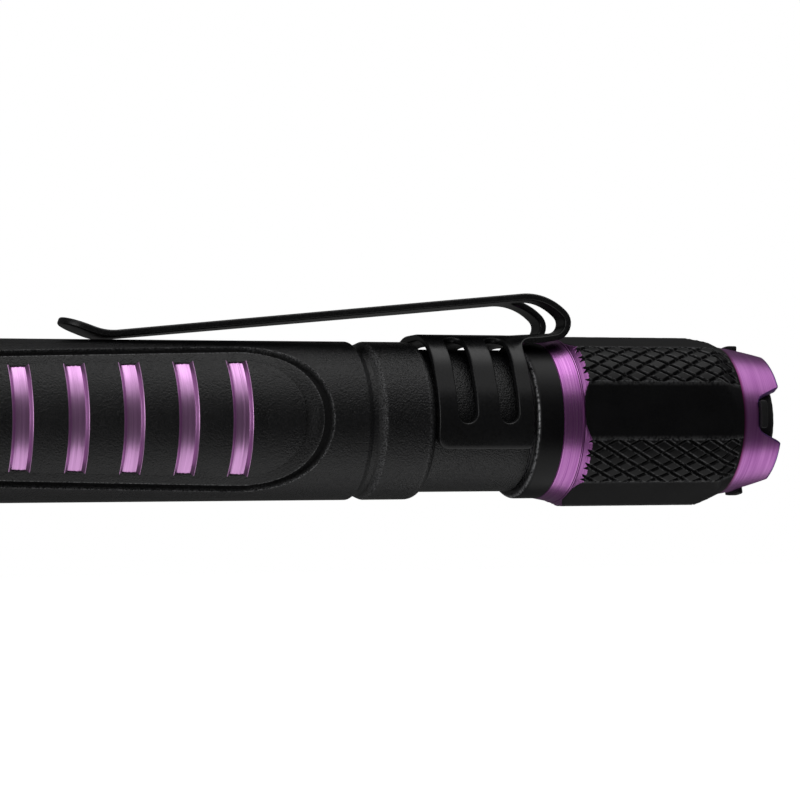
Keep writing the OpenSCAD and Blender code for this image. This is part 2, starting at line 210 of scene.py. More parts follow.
def turned(name, profile, material, radius=0.1, segments=128, closed=True, sharp=None):
    """A lathe piece from (x, radius) points; a closed profile makes a ring, an open one ends on the axis."""
    if closed:
        loop = profile + profile[:2]
        outline = rounded(loop, radius)[1:-1]
        outline = outline[:1] + [q for p, q in zip(outline, outline[1:]) if math.dist(p, q) > 1e-5]
    else:
        outline = rounded(profile, radius)
    rows = len(outline)
    x, r, a = lathe_grid([p[0] for p in outline], [max(p[1], 1e-4) for p in outline], segments)
    faces = list(grid_faces(rows, segments, closed))
    if not closed:
        faces.append(range(segments)[::-1])
        faces.append(range((rows - 1) * segments, rows * segments))
    return new_piece(name, ring_points(x, r, a), faces, [material], sharp=sharp)


def steps(a, b, step):
    n = max(1, int(math.ceil(abs(b - a) / step)))
    return [a + (b - a) * i / n for i in range(n + 1)]


def merged(values, gap=0.004):
    out = []
    for v in sorted(values):
        if not out or v - out[-1] > gap:
            out.append(v)
    return np.array(out)


def coil(name, x0, x1, radius, wire, turns, material):
    """A helical spring along the pen with closed, flattened end turns."""
    per_turn, around = 40, 10
    count = int((turns + 2) * per_turn)
    centres = []
    for k in range(count + 1):
        t = k / per_turn
        lift = smooth(np.array((t - 0.85) / turns)) if t < turns + 1.15 else 1.0
        linear = np.clip((t - 1) / turns, 0, 1)
        share = 0.25 * float(lift) + 0.75 * float(linear)
        x = x0 + wire / 2 + (x1 - x0 - wire) * share
        a = TAU * t
        centres.append((x, -radius * math.cos(a), radius * math.sin(a)))
    centres = np.array(centres)
    tangent = np.gradient(centres, axis=0)
    tangent /= np.linalg.norm(tangent, axis=1)[:, None]
    outward = centres * [0, 1, 1]
    outward /= np.linalg.norm(outward, axis=1)[:, None]
    side = np.cross(tangent, outward)
    side /= np.linalg.norm(side, axis=1)[:, None]
    outward = np.cross(side, tangent)
    verts = []
    for c, o, s in zip(centres, outward, side):
        for k in range(around):
            a = TAU * k / around
            verts.append(c + wire / 2 * (math.cos(a) * o + math.sin(a) * s))
    faces = list(grid_faces(len(centres), around, False))
    faces.append(range(around))
    faces.append(range((len(centres) - 1) * around, len(centres) * around)[::-1])
    return new_piece(name, np.array(verts), faces, [material], sharp=50)


def inset_loop(loop, distance):
    """A closed outline moved to its left by a distance."""
    loop = np.asarray(loop)
    ahead, behind = np.roll(loop, -1, 0) - loop, loop - np.roll(loop, 1, 0)
    left = []
    for d in (ahead, behind):
        d = d / np.linalg.norm(d, axis=1)[:, None]
        left.append(np.stack([-d[:, 1], d[:, 0]], -1))
    n = left[0] + left[1]
    n /= np.maximum((n * n).sum(1, keepdims=True) / 2, 0.5)
    return loop + n * distance


def dense(loop, step):
    """A closed outline with points added so that none of its sides is longer than a step."""
    out = []
    for a, b in zip(loop, loop[1:] + loop[:1]):
        n = max(1, int(math.ceil(math.dist(a, b) / step)))
        out += [(a[0] + (b[0] - a[0]) * k / n, a[1] + (b[1] - a[1]) * k / n) for k in range(n)]
    return out


def corner_arc(a, b, c, radius, step=0.25, count=None):
    """The arc that rounds the corner b between a and c, in a number of sides or in half steps."""
    a, b, c = (np.array(p[:2], float) for p in (a, b, c))
    u, v = (a - b) / np.linalg.norm(a - b), (c - b) / np.linalg.norm(c - b)
    half = math.acos(float(np.clip(u @ v, -1, 1))) / 2
    if radius <= 0 or half > math.radians(89.5):
        return [tuple(b)]
    cut = radius / math.tan(half)
    centre = b + (u + v) / np.linalg.norm(u + v) * radius / math.sin(half)
    p, q = b + u * cut - centre, b + v * cut - centre
    start = math.atan2(p[1], p[0])
    turn = (math.atan2(q[1], q[0]) - start + math.pi) % TAU - math.pi
    count = count or max(3, int(abs(turn) * radius / (step / 2)))
    angles = [start + turn * t / count for t in range(count + 1)]
    return [tuple(centre + radius * np.array([math.cos(t), math.sin(t)])) for t in angles]


def filleted(corners, step=0.25):
    """A closed outline from (x, y, fillet radius) corners, with true arcs."""
    out = []
    for i, corner in enumerate(corners):
        out += corner_arc(corners[i - 1], corner, corners[(i + 1) % len(corners)], corner[2], step)
    return dense(out, step)


def plate(name, loops, place, thick, edge, us, vs, materials, fields=None):
    """A sheet with rounded edges: loops are its outline anticlockwise and its holes clockwise, on the flat;
    place(u, v, w) puts a point at height w above the sheet's middle where it belongs on the pen."""
    inner = [inset_loop(loop, edge) for loop in loops]
    points, edges = [], []
    for loop in inner:
        start = len(points)
        points += [Vector(p) for p in loop]
        edges += [(start + k, start + (k + 1) % len(loop)) for k in range(len(loop))]
    rim = np.array([p[:] for p in points])

    def inside(p):
        hit = False
        for loop in inner:
            a, b = loop, np.roll(loop, -1, 0)
            cross = (a[:, 1] > p[1]) != (b[:, 1] > p[1])
            with np.errstate(divide="ignore", invalid="ignore"):
                at = a[:, 0] + (p[1] - a[:, 1]) * (b[:, 0] - a[:, 0]) / (b[:, 1] - a[:, 1])
            hit ^= bool((cross & (at > p[0])).sum() % 2)
        return hit

    clear = 0.12
    for u in us:
        for v in vs:
            p = np.array([u, v])
            if ((rim - p) ** 2).sum(1).min() > clear**2 and inside(p):
                points.append(Vector(p))
    flat, _, tris, _, _, _ = delaunay_2d_cdt(points, edges, [], 1, 1e-6)
    flat = np.array([p[:] for p in flat])
    keep = [t for t in tris if inside(flat[list(t)].mean(0))]
    used = sorted({k for t in keep for k in t})
    remap = {k: i for i, k in enumerate(used)}
    flat = flat[used]
    tris = [[remap[k] for k in t] for t in keep]
    half = thick / 2
    count = len(flat)
    uvw = [np.column_stack([flat, np.full(count, half)]), np.column_stack([flat, np.full(count, -half)])]
    faces = [t for t in tris] + [[count + k for k in t][::-1] for t in tris]
    total = 2 * count
    for loop, start in zip(loops, inner):
        own = [int(((flat - p) ** 2).sum(1).argmin()) for p in start]
        n = len(own)
        rings = [[k for k in own]]
        for side in (1, -1):
            turns = (60, 30, 0) if side == 1 else (0, 30, 60)
            for a in turns:
                a = math.radians(a)
                moved = inset_loop(loop, edge * (1 - math.cos(a)))
                uvw.append(np.column_stack([moved, np.full(n, side * (half - edge + edge * math.sin(a)))]))
                rings.append(list(range(total, total + n)))
                total += n
        rings.append([count + k for k in own])
        for a, b in zip(rings, rings[1:]):
            faces += [[a[k], b[k], b[(k + 1) % n], a[(k + 1) % n]] for k in range(n)]
    uvw = np.concatenate(uvw)
    verts = place(uvw[:, 0], uvw[:, 1], uvw[:, 2])
    made = {key: field(uvw) for key, field in (fields or {}).items()}
    piece = new_piece(name, verts, faces, materials, fields=made)
    piece.modifiers.new("even_normals", "WEIGHTED_NORMAL")
    return piece


# ---------------------------------------------------------------- materials
class Nodes:
    """A material's node tree, with short calls for its nodes."""

    def __init__(self, name):
        self.material = bpy.data.materials.new(name)
        self.material.use_nodes = True
        self.tree = self.material.node_tree
        self.tree.nodes.clear()
        self.out = self.add("ShaderNodeOutputMaterial")
        self.shader = self.add("ShaderNodeBsdfPrincipled")
        self.join(self.shader.outputs[0], self.out.inputs[0])
        self.coords = self.add("ShaderNodeTexCoord").outputs["Object"]

    def add(self, kind, **settings):
        node = self.tree.nodes.new(kind)
        for key, value in settings.items():
            setattr(node, key, value)
        return node

    def join(self, a, b):
        self.tree.links.new(a, b)

    def set(self, **values):
        for key, value in values.items():
            self.put(self.shader.inputs[key.replace("_", " ")], value)

    def put(self, socket, value):
        if isinstance(value, bpy.types.NodeSocket):
            self.join(value, socket)
        else:
            socket.default_value = value

    def math(self, operation, a, b=0.0, clamp=False):
        node = self.add("ShaderNodeMath", operation=operation, use_clamp=clamp)
        self.put(node.inputs[0], a)
        self.put(node.inputs[1], b)
        return node.outputs[0]

    def weighed(self, a, share_a, b, share_b):
        return self.math("ADD", self.math("MULTIPLY", a, share_a), self.math("MULTIPLY", b, share_b))

    def noise(self, size_mm, detail=2.0, rough=0.5, coords=None):
        node = self.add("ShaderNodeTexNoise")
        self.join(coords or self.coords, node.inputs["Vector"])
        node.inputs["Scale"].default_value = 1 / (size_mm * MM) if coords is None else 1.0
        node.inputs["Detail"].default_value = detail
        node.inputs["Roughness"].default_value = rough
        return node.outputs["Fac"]

    def cells(self, size_mm):
        node = self.add("ShaderNodeTexVoronoi")
        self.join(self.coords, node.inputs["Vector"])
        node.inputs["Scale"].default_value = 1 / (size_mm * MM)
        return node

    def remap(self, value, a, b, lo=0.0, hi=1.0):
        node = self.add("ShaderNodeMapRange")
        self.put(node.inputs[0], value)
        for k, v in zip((1, 2, 3, 4), (a, b, lo, hi)):
            node.inputs[k].default_value = v
        return node.outputs[0]

    def mix(self, share, a, b):
        node = self.add("ShaderNodeMix", data_type="RGBA")
        self.put(node.inputs[0], share)
        for socket, value in zip(node.inputs[6:8], (a, b)):
            self.put(socket, value if isinstance(value, bpy.types.NodeSocket) else (*value, 1.0))
        return node.outputs[2]

    def shades(self, share, base, deep, pale):
        """A colour between a darker and a paler share of the base."""
        return self.mix(share, tuple(c * deep for c in base), tuple(min(1, c * pale) for c in base))

    def field(self, name):
        return self.add("ShaderNodeAttribute", attribute_name=name).outputs["Fac"]

    def lathe_coords(self, axial_mm, round_mm):
        """Coordinates that run along the pen and round it, scaled to sizes in millimetres."""
        split = self.add("ShaderNodeSeparateXYZ")
        self.join(self.coords, split.inputs[0])
        x, y, z = split.outputs
        radius = self.math("SQRT", self.math("ADD", self.math("MULTIPLY", y, y), self.math("MULTIPLY", z, z)))
        join = self.add("ShaderNodeCombineXYZ")
        self.join(self.math("MULTIPLY", x, 1 / (axial_mm * MM)), join.inputs[0])
        k = BARREL_R / round_mm
        unit = self.add("ShaderNodeVectorMath", operation="NORMALIZE")
        flat = self.add("ShaderNodeCombineXYZ")
        self.join(y, flat.inputs[1])
        self.join(z, flat.inputs[2])
        self.join(flat.outputs[0], unit.inputs[0])
        scaled = self.add("ShaderNodeVectorMath", operation="SCALE")
        self.join(unit.outputs[0], scaled.inputs[0])
        scaled.inputs["Scale"].default_value = k
        both = self.add("ShaderNodeVectorMath", operation="ADD")
        self.join(join.outputs[0], both.inputs[0])
        self.join(scaled.outputs[0], both.inputs[1])
        self.join(self.math("MULTIPLY", radius, 1 / (axial_mm * MM)), join.inputs[1])
        return both.outputs[0]

    def bump(self, height, depth_mm, before=None):
        node = self.add("ShaderNodeBump")
        node.inputs["Strength"].default_value = 1.0
        node.inputs["Distance"].default_value = depth_mm * MM
        self.join(height, node.inputs["Height"])
        if before is not None:
            self.join(before, node.inputs["Normal"])
        return node.outputs[0]


def black_metal(name, base, rough, grain_mm, grain_depth, wear=0.0, gloss=0.2):
    """Bead-blasted black anodised aluminium, bright where its edges are rubbed."""
    n = Nodes(name)
    grain = n.noise(grain_mm, 2.0, 0.6)
    pits = n.cells(grain_mm * 1.7).outputs["Distance"]
    cloud = n.noise(6.0, 3.0)
    shade = n.math("MULTIPLY", n.remap(cloud, 0.3, 0.7, 0.75, 1.25), n.remap(grain, 0.3, 0.7, 0.6, 1.5))
    colour = n.shades(n.math("MULTIPLY", shade, 0.5, True), base, 0.4, 1.6)
    rub = n.math("MULTIPLY", n.field("edge"), n.remap(n.noise(0.14, 2.0), 0.45, 0.58), True)
    rub = n.math("MULTIPLY", rub, wear, True)
    n.set(Base_Color=n.mix(rub, colour, (0.2, 0.2, 0.205)))
    n.set(Metallic=n.math("MULTIPLY", rub, 0.6))
    matt = n.remap(n.math("ADD", cloud, grain), 0.6, 1.4, rough - 0.06, rough + 0.08)
    n.set(Roughness=n.math("ADD", matt, n.math("MULTIPLY", n.field("groove"), 0.45), True))
    n.set(Specular_IOR_Level=gloss)
    height = n.math("ADD", grain, n.math("MULTIPLY", pits, 0.5))
    n.set(Normal=n.bump(height, grain_depth))
    return n.material


def purple_metal(name, base, rough, streak, grain=0.0):
    """Turned purple anodised aluminium with fine lathe lines."""
    n = Nodes(name)
    lines = n.noise(0, 3.0, 0.65, n.lathe_coords(0.09, 14.0))
    broad = n.noise(0, 2.0, 0.5, n.lathe_coords(0.45, 9.0))
    cloud = n.noise(3.0, 2.0)
    mixed = n.weighed(lines, 0.55, broad, 0.45)
    pale = tuple(min(1.0, c * 1.12 + 0.02) for c in base)
    deep = tuple(c * 0.85 for c in base)
    colour = n.mix(n.remap(mixed, 0.36, 0.64), deep, pale)
    dirt = n.remap(cloud, 0.35, 0.75, 0.0, 0.25)
    n.set(Base_Color=n.mix(dirt, colour, tuple(c * 0.6 for c in base)))
    n.set(Metallic=1.0)
    n.set(Roughness=n.remap(mixed, 0.3, 0.7, rough + 0.07, rough - 0.06))
    normal = n.bump(mixed, streak)
    if grain:
        normal = n.bump(n.noise(0.12, 2.0), grain, before=normal)
    n.set(Normal=normal)
    return n.material


def plain_metal(name, base, rough, grain_mm=0.3, depth=0.002, streaked=False, metallic=1.0):
    n = Nodes(name)
    fine = n.noise(0, 3.0, 0.6, n.lathe_coords(0.08, 10.0)) if streaked else n.noise(grain_mm, 4.0, 0.6)
    cloud = n.noise(2.0, 3.0)
    tone = n.weighed(fine, 0.5, cloud, 0.5)
    colour = n.shades(n.remap(tone, 0.35, 0.65), base, 0.7, 1.12)
    n.set(Base_Color=colour)
    n.set(Metallic=metallic)
    n.set(Roughness=n.remap(tone, 0.3, 0.7, rough + 0.1, rough - 0.06))
    n.set(Normal=n.bump(fine, depth))
    return n.material


def soft_or_plastic(name, base, rough, grain_mm, depth, sheen=0.0, gloss=0.5):
    n = Nodes(name)
    fine = n.noise(grain_mm, 4.0, 0.6)
    cloud = n.noise(grain_mm * 12, 3.0)
    tone = n.weighed(fine, 0.4, cloud, 0.6)
    colour = n.shades(n.remap(tone, 0.35, 0.65), base, 0.7, 1.25)
    n.set(Base_Color=colour)
    n.set(Roughness=n.remap(tone, 0.3, 0.7, rough - 0.06, rough + 0.08))
    n.set(Sheen_Weight=sheen, Specular_IOR_Level=gloss)
    n.set(Normal=n.bump(fine, depth))
    return n.material


def clear_glass(name, tint):
    n = Nodes(name)
    smear = n.noise(2.5, 3.0)
    n.set(Base_Color=n.mix(n.remap(smear, 0.3, 0.7), tint, (0.97, 0.97, 0.99)))
    n.set(Roughness=n.remap(smear, 0.3, 0.7, 0.01, 0.05))
    n.set(Transmission_Weight=1.0, IOR=1.5)
    n.set(Normal=n.bump(smear, 0.0004))
    return n.material


BLACK = black_metal("black_anodise_blasted", (0.0035, 0.0036, 0.004), 0.30, 0.12, 0.07, 0.85, 0.3)
PURPLE = purple_metal("purple_anodise_stripe", (0.58, 0.30, 0.58), 0.35, 0.003)
PURPLE_CAP = purple_metal("purple_anodise_satin", (0.42, 0.15, 0.43), 0.36, 0.0008, 0.0015)
SPRING_BLACK = black_metal("black_spring_steel", (0.004, 0.004, 0.0044), 0.3, 0.3, 0.002, 0.5, 0.28)
RAW = plain_metal("machined_aluminium", (0.62, 0.62, 0.64), 0.3, streaked=True)
RUBBER = soft_or_plastic("black_rubber", (0.005, 0.005, 0.0055), 0.55, 0.12, 0.01, 0.03, 0.25)
O_RING = soft_or_plastic("nitrile_rubber", (0.012, 0.012, 0.013), 0.38, 0.2, 0.004)
BRASS = plain_metal("turned_brass", (0.71, 0.52, 0.25), 0.28, streaked=True)
GOLD = plain_metal("plated_spring_wire", (0.83, 0.66, 0.36), 0.24, 0.2, 0.001)
STEEL = plain_metal("bright_steel", (0.62, 0.62, 0.64), 0.26, 0.2, 0.001)
MIRROR = plain_metal("metallised_reflector", (0.9, 0.9, 0.92), 0.08, 0.6, 0.006)
BLACK_NYLON = soft_or_plastic("black_nylon", (0.03, 0.03, 0.032), 0.42, 0.1, 0.006)
ACETAL = soft_or_plastic("white_acetal", (0.72, 0.72, 0.69), 0.33, 0.1, 0.002)
WHITE_MASK = soft_or_plastic("white_solder_mask", (0.78, 0.79, 0.76), 0.34, 0.15, 0.003)
GREEN_MASK = soft_or_plastic("green_solder_mask", (0.035, 0.17, 0.06), 0.3, 0.15, 0.003)
CERAMIC = soft_or_plastic("led_ceramic", (0.8, 0.78, 0.68), 0.4, 0.08, 0.002)
CHIP = soft_or_plastic("led_chip", (0.42, 0.4, 0.16), 0.2, 0.1, 0.001)
JACKET = soft_or_plastic("shrink_jacket", (0.10, 0.12, 0.16), 0.24, 0.5, 0.004)
GLASS = clear_glass("coated_glass", (0.88, 0.84, 0.98))
DOME = clear_glass("silicone_dome", (0.95, 0.95, 0.9))


# ---------------------------------------------------------------- barrel
def panel_scale(x):
    """How much narrower the grip panels are than at their rear ends: they taper towards the head."""
    return 1 + PANEL_TAPER * (np.clip(x, PANEL_FRONT, -16) + 16)


def panel_coords(x, angle):
    """Distance along the pen and round it from the middle of the nearer panel, on the unrolled surface."""
    return x, BARREL_R * ((angle + math.pi / 2) % math.pi - math.pi / 2)


def stadium(x, s):
    """Distance from the middle line of a grip panel."""
    past = np.maximum(np.maximum(x - PANEL_REAR, PANEL_FRONT - x), 0)
    return np.hypot(past, s)


def pad_edge(x, s):
    """Distance outside the raised pad's edge; negative on the pad."""
    past = np.maximum(np.maximum(x - PANEL_REAR, PANEL_FRONT - x), 0)
    ring = np.hypot(past / PAD_ROUND, s / PAD_HALF)
    return (ring - 1) * PAD_ROUND


def panel_height(x, s):
    d = stadium(x, s)
    wall = 0.2
    groove = smooth((d - GROOVE_IN) / wall) * smooth((GROOVE_OUT - d) / wall)
    out = pad_edge(x, s)
    ledge = BAND_DEPTH - (BAND_DEPTH - 0.06) * np.clip(out / (GROOVE_IN - PAD_HALF), 0, 1)
    band = ledge * smooth((out + 0.03) / 0.12)
    return -np.maximum(groove * GROOVE_DEPTH, np.where(d < GROOVE_IN + 0.05, band, 0))


def stripe_height(x, s):
    cut = np.zeros_like(x)
    for centre in STRIPES:
        t = x - centre
        front = smooth((t + STRIPE_HALF) / 0.42)
        rear = smooth((STRIPE_HALF - t) / 0.3)
        ridge = 0.04 * bell(t - 0.28, 0.09) + 0.025 * bell(t + 0.12, 0.06)
        cut = np.maximum(cut, front * rear * (STRIPE_DEPTH - ridge) * (np.abs(t) < STRIPE_HALF))
    return cut * (np.abs(s) <= PAD_HALF + 0.001)


def thread_height(x, angle, start, end, depth):
    phase = (x / THREAD_PITCH - angle / TAU) % 1.0
    shape = np.clip(1.6 * np.abs(2 * phase - 1) - 0.3, 0, 1)
    return -depth * shape * smooth((x - start) / 0.5) * smooth((end - x) / 0.5)


def make_barrel():
    front, rear = BARREL_LO[0], BARREL_HI[0]
    o_ring_at = (13.7, 14.9)
    outline = [
        (front, BORE_R), (front, NOSE_R - 0.35), (front + 0.35, NOSE_R), (HEAD_SEAT, NOSE_R),
        (HEAD_SEAT, BARREL_R - 0.15), (HEAD_SEAT + 0.15, BARREL_R), (-4.05, BARREL_R),
        (-3.5, BARREL_R - RING_GROOVE), (-3.05, BARREL_R - RING_GROOVE), (-2.25, BARREL_R),
    ]
    outline += [(2.75 - 0.9 * (1 - math.cos(a)), NECK_R + (BARREL_R - NECK_R) * math.sin(a)) for a in
                (math.radians(d) for d in range(90, -1, -10))]
    outline += [
        (NECK_TO, NECK_R), (NECK_TO, NOSE_R), (o_ring_at[0], NOSE_R), (o_ring_at[0], NOSE_R - 0.5),
        (o_ring_at[1], NOSE_R - 0.5), (o_ring_at[1], NOSE_R), (rear - 0.4, NOSE_R), (rear, NOSE_R - 0.4),
        (rear, BORE_R),
    ]
    outline = rounded(outline, 0.07, 3)
    xs = np.array([p[0] for p in outline])
    rs = np.array([p[1] for p in outline])
    # The straight stretches get rows where the panels, stripes and threads need them.
    extra = steps(PANEL_REAR - 0.4, PANEL_REAR + GROOVE_OUT + 0.2, 0.085)
    extra += steps(PANEL_FRONT - GROOVE_OUT - 0.2, PANEL_FRONT + 0.4, 0.085)
    for centre in STRIPES:
        for t in (1, 0.985, 0.93, 0.8, 0.7, 0.6, 0.4, 0.25, 0.12):
            extra += [centre - t * STRIPE_HALF, centre + t * STRIPE_HALF]
        extra.append(centre)
    extra += steps(15.0, rear - 0.4, 0.085) + steps(front + 0.4, -70.3, 0.2)
    extra = [x for x in merged(extra, 0.012) if np.abs(xs - x).min() > 0.01]
    order_x, order_r = list(xs), list(rs)
    for x in extra:
        for k in range(len(order_x) - 1):
            if order_x[k] < x < order_x[k + 1]:
                t = (x - order_x[k]) / (order_x[k + 1] - order_x[k])
                order_x.insert(k + 1, x)
                order_r.insert(k + 1, order_r[k] + t * (order_r[k + 1] - order_r[k]))
                break
    outer = len(order_x)
    order_x += [rear - 0.3, front + 0.3]
    order_r += [BORE_R, BORE_R]
    near_edge = (-0.1, -0.05, 0.0, 0.05, 0.1)
    side = merged(
        steps(-PANEL_SIDE, PANEL_SIDE, 0.095)
        + [k * (e + o) for k in (-1, 1) for e in (PAD_HALF, GROOVE_IN, GROOVE_OUT) for o in near_edge], 0.02)
    half_turn = math.pi * BARREL_R
    gaps = np.array(steps(PANEL_SIDE, half_turn - PANEL_SIDE, 0.6)[1:-1])
    around = np.concatenate([side, gaps]) / BARREL_R
    angle = np.concatenate([around, around + math.pi])
    x, plain = np.meshgrid(np.array(order_x), angle, indexing="ij")
    r = np.repeat(np.array(order_r)[:, None], len(angle), 1)
    u, s = panel_coords(x, plain)
    # The columns of a panel close up towards the head, and those between the panels spread to fill the rest.
    k = panel_scale(x[:, :1])
    narrow = side[None, :] * k
    spread = (half_turn - 2 * PANEL_SIDE * k) / (half_turn - 2 * PANEL_SIDE)
    wide = PANEL_SIDE * k + (gaps[None, :] - PANEL_SIDE) * spread
    a = np.concatenate([narrow, wide, narrow + half_turn, wide + half_turn], 1) / BARREL_R
    body = (x > -69) & (x < -5)
    body[outer:] = False
    height = panel_height(u, s)
    cut = stripe_height(u, s)
    height = np.where(cut > 0, np.minimum(height, -cut), height)
    r = r + np.where(body, height, 0)
    threads = thread_height(x, a, 15.1, rear - 0.3, THREAD_DEPTH)
    threads[outer:] = 0
    r = r + np.where(x > 14.95, threads, 0)
    d = stadium(u, s)
    edge = bell(d - GROOVE_OUT - 0.01, 0.05) + 0.8 * bell(d - GROOVE_IN + 0.02, 0.045)
    edge = np.where(body, edge, 0)
    edge = np.maximum(edge, 0.25 * bell(x - 2.0, 0.12))
    edge = np.maximum(edge, 0.5 * bell(x + 2.3, 0.06))
    groove = np.where(body, smooth((d - GROOVE_IN - 0.06) / 0.06) * smooth((GROOVE_OUT - 0.05 - d) / 0.06), 0)
    faces = grid_faces(len(order_x), len(angle), True)
    rows, cols = len(order_x), len(angle)
    mid_x = (x + np.roll(x, -1, 0)) / 2
    next_s = np.roll(s, -1, 1)
    mid_s = np.where(np.abs(next_s - s) < 3, (s + next_s) / 2, 99)
    in_stripe = np.zeros((rows, cols), bool)
    for centre in STRIPES:
        in_stripe |= np.abs(mid_x - centre) < STRIPE_HALF
    in_stripe &= (np.abs(mid_s) < PAD_HALF)
    slots = np.where(in_stripe, 1, 0)
    slots[(mid_x > NECK_TO) | (mid_x < HEAD_SEAT - 0.05)] = 2
    slots[outer - 1:] = 2
    piece = new_piece("barrel_tube", ring_points(x, r, a), faces, [BLACK, PURPLE, RAW],
                      slots, {"edge": edge, "groove": groove}, sharp=38)
    ride(piece, "barrel", "black_anodise", "barrel")


make_barrel()


# ---------------------------------------------------------------- tail cap
def flat_turned(angle):
    """Angle from the middle of the nearest flat."""
    step = TAU / FLATS
    return (angle - math.radians(FLAT_TURN) + step / 2) % step - step / 2


def knurl(x, angle):
    """Depth of the two crossing sets of knurl grooves."""
    turns = angle / TAU * KNURL_ROUND
    slant = x / KNURL_AXIAL
    spacing = KNURL_AXIAL * 0.5
    deep = np.zeros_like(x)
    for q in (slant - turns, slant + turns):
        off = np.abs((q + 0.5) % 1 - 0.5) * spacing
        deep = np.maximum(deep, np.clip(1 - off / KNURL_HALF_W, 0, 1))
    return KNURL_DEPTH * deep


def cap_profile():
    lip = 0.45
    outline = [(CAP_LO[0] + 0.12, CAP_BORE_R), (CAP_LO[0], CAP_BORE_R + 0.15)]
    outline += [(CAP_LO[0] + lip * (1 - math.cos(a)), BARREL_R - lip * (1 - math.sin(a))) for a in
                (math.radians(d) for d in range(0, 91, 15))]
    outline += [(PURPLE_FROM - 0.04, BARREL_R), (PURPLE_FROM, BARREL_R - 0.05)]
    outline.append((PURPLE_FROM + 0.05, BARREL_R + 0.03))
    bead, line = CHAMFER_FROM_R + 0.09, CHAMFER_FROM_R - 0.08
    outline += [(PURPLE_TO - 0.15, CHAMFER_FROM_R), (PURPLE_TO - 0.11, bead), (PURPLE_TO - 0.02, bead)]
    outline += [(PURPLE_TO + 0.01, line), (PURPLE_TO + 0.08, line), (PURPLE_TO + 0.1, CHAMFER_FROM_R + 0.02)]
    return outline


def make_cap_grip():
    head = cap_profile()
    cone = steps(PURPLE_TO + 0.1, GRIP_FROM, 0.05)[1:]
    slope = (GRIP_R - CHAMFER_FROM_R - 0.02) / (GRIP_FROM - PURPLE_TO - 0.1)
    grip = steps(GRIP_FROM, GRIP_TO, 0.066)[1:]
    tail = steps(GRIP_TO, CROWN_FROM, 0.08)[1:]
    lead = np.array([p[0] for p in head] + cone + grip + tail)
    narrowing = (GRIP_R - CROWN_BASE_R) / (CROWN_FROM - GRIP_TO)
    base = [p[1] for p in head] + [CHAMFER_FROM_R + 0.02 + slope * (x - PURPLE_TO - 0.1) for x in cone]
    base = np.array(base + [GRIP_R] * len(grip) + [GRIP_R - narrowing * (x - GRIP_TO) for x in tail])
    outer = len(lead)
    inner = [(CROWN_FROM, CAP_BORE_R + 0.3), (CROWN_FROM, CAP_BORE_R)]
    inner += [(x, CAP_BORE_R) for x in steps(33.6, 22.0, 2.0) + steps(20.5, 15.6, 0.085) + [14.0]]
    xs = np.concatenate([lead, [p[0] for p in inner]])
    rs = np.concatenate([base, [p[1] for p in inner]])
    half = math.radians(FLAT_HALF)
    step = TAU / FLATS
    flat_cols = [half * t for t in (-1, -0.985, -0.85, -0.6, -0.3, 0, 0.3, 0.6, 0.85, 0.985)]
    knurl_cols = steps(half, step - half, 0.066 / GRIP_R)[:-1]
    side_cols = np.array(flat_cols + knurl_cols)
    angle = np.concatenate([side_cols + k * step + math.radians(FLAT_TURN) for k in range(FLATS)])
    x, a = np.meshgrid(xs, angle, indexing="ij")
    r = np.repeat(rs[:, None], len(angle), 1)
    is_outer = np.zeros_like(r, bool)
    is_outer[len(head):outer] = True
    flat = FLAT_DIST / np.cos(np.clip(flat_turned(a), -1.2, 1.2))
    beside_flat = np.clip((np.abs(flat_turned(a)) / half - 0.99) * 50, 0, 1)
    knurled = knurl(x, a) * beside_flat * smooth((KNURL_TO - x) / 0.3)
    cut_by_tool = np.minimum(np.where(x > GRIP_TO, r, GRIP_R) - knurled, flat)
    chamfer = CHAMFER_FROM_R + 0.02 + slope * (x - PURPLE_TO - 0.1)
    r = np.where(is_outer, np.minimum(r, cut_by_tool), r)
    bare = np.where(is_outer & (x < GRIP_FROM + 1), cut_by_tool - chamfer, -1.0)
    inner_thread = -thread_height(x, a, 15.8, 20.4, 0.3)
    inner_thread[: outer + 2] = 0
    r = r + inner_thread
    near_ring = (x > PURPLE_FROM - 0.005) & (x < PURPLE_TO + 0.11)
    near_ring[outer:] = False
    bare = np.where(near_ring, 1.0, bare)
    # The rims of the flats are rubbed bright, and a painted highlight runs along one set of knurl ridges as
    # bright metal.
    turns_q = np.abs((x / KNURL_AXIAL + a / TAU * KNURL_ROUND + 0.5) % 1 - 0.5) * KNURL_AXIAL * 0.5
    crest_highlight = bell(turns_q - KNURL_HALF_W - 0.02, 0.04)
    on_knurl = is_outer & (np.abs(flat_turned(a)) > half * 1.04) & (x > GRIP_FROM) & (x < KNURL_TO)
    edge = np.where(on_knurl, 0.35 * crest_highlight, 0)
    flat_rim = 0.3 * bell(np.abs(flat_turned(a)) - half, 0.006)
    edge = np.where(is_outer, np.maximum(edge, flat_rim), edge)
    lip_edge = bell(x - CAP_LO[0] - 0.12, 0.07)
    lip_edge[outer:] = 0
    edge = np.maximum(edge, 0.9 * lip_edge)
    faces = grid_faces(len(xs), len(angle), True)
    slots = np.zeros((len(xs), len(angle)), int)
    slots[outer + 1:] = 1
    piece = new_piece("tail_cap_grip", ring_points(x, r, a), faces, [CAP_SKIN, RAW], slots,
                      {"edge": edge, "bare": bare}, sharp=32)
    ride(piece, "tail_cap", "black_anodise", "tail_cap")


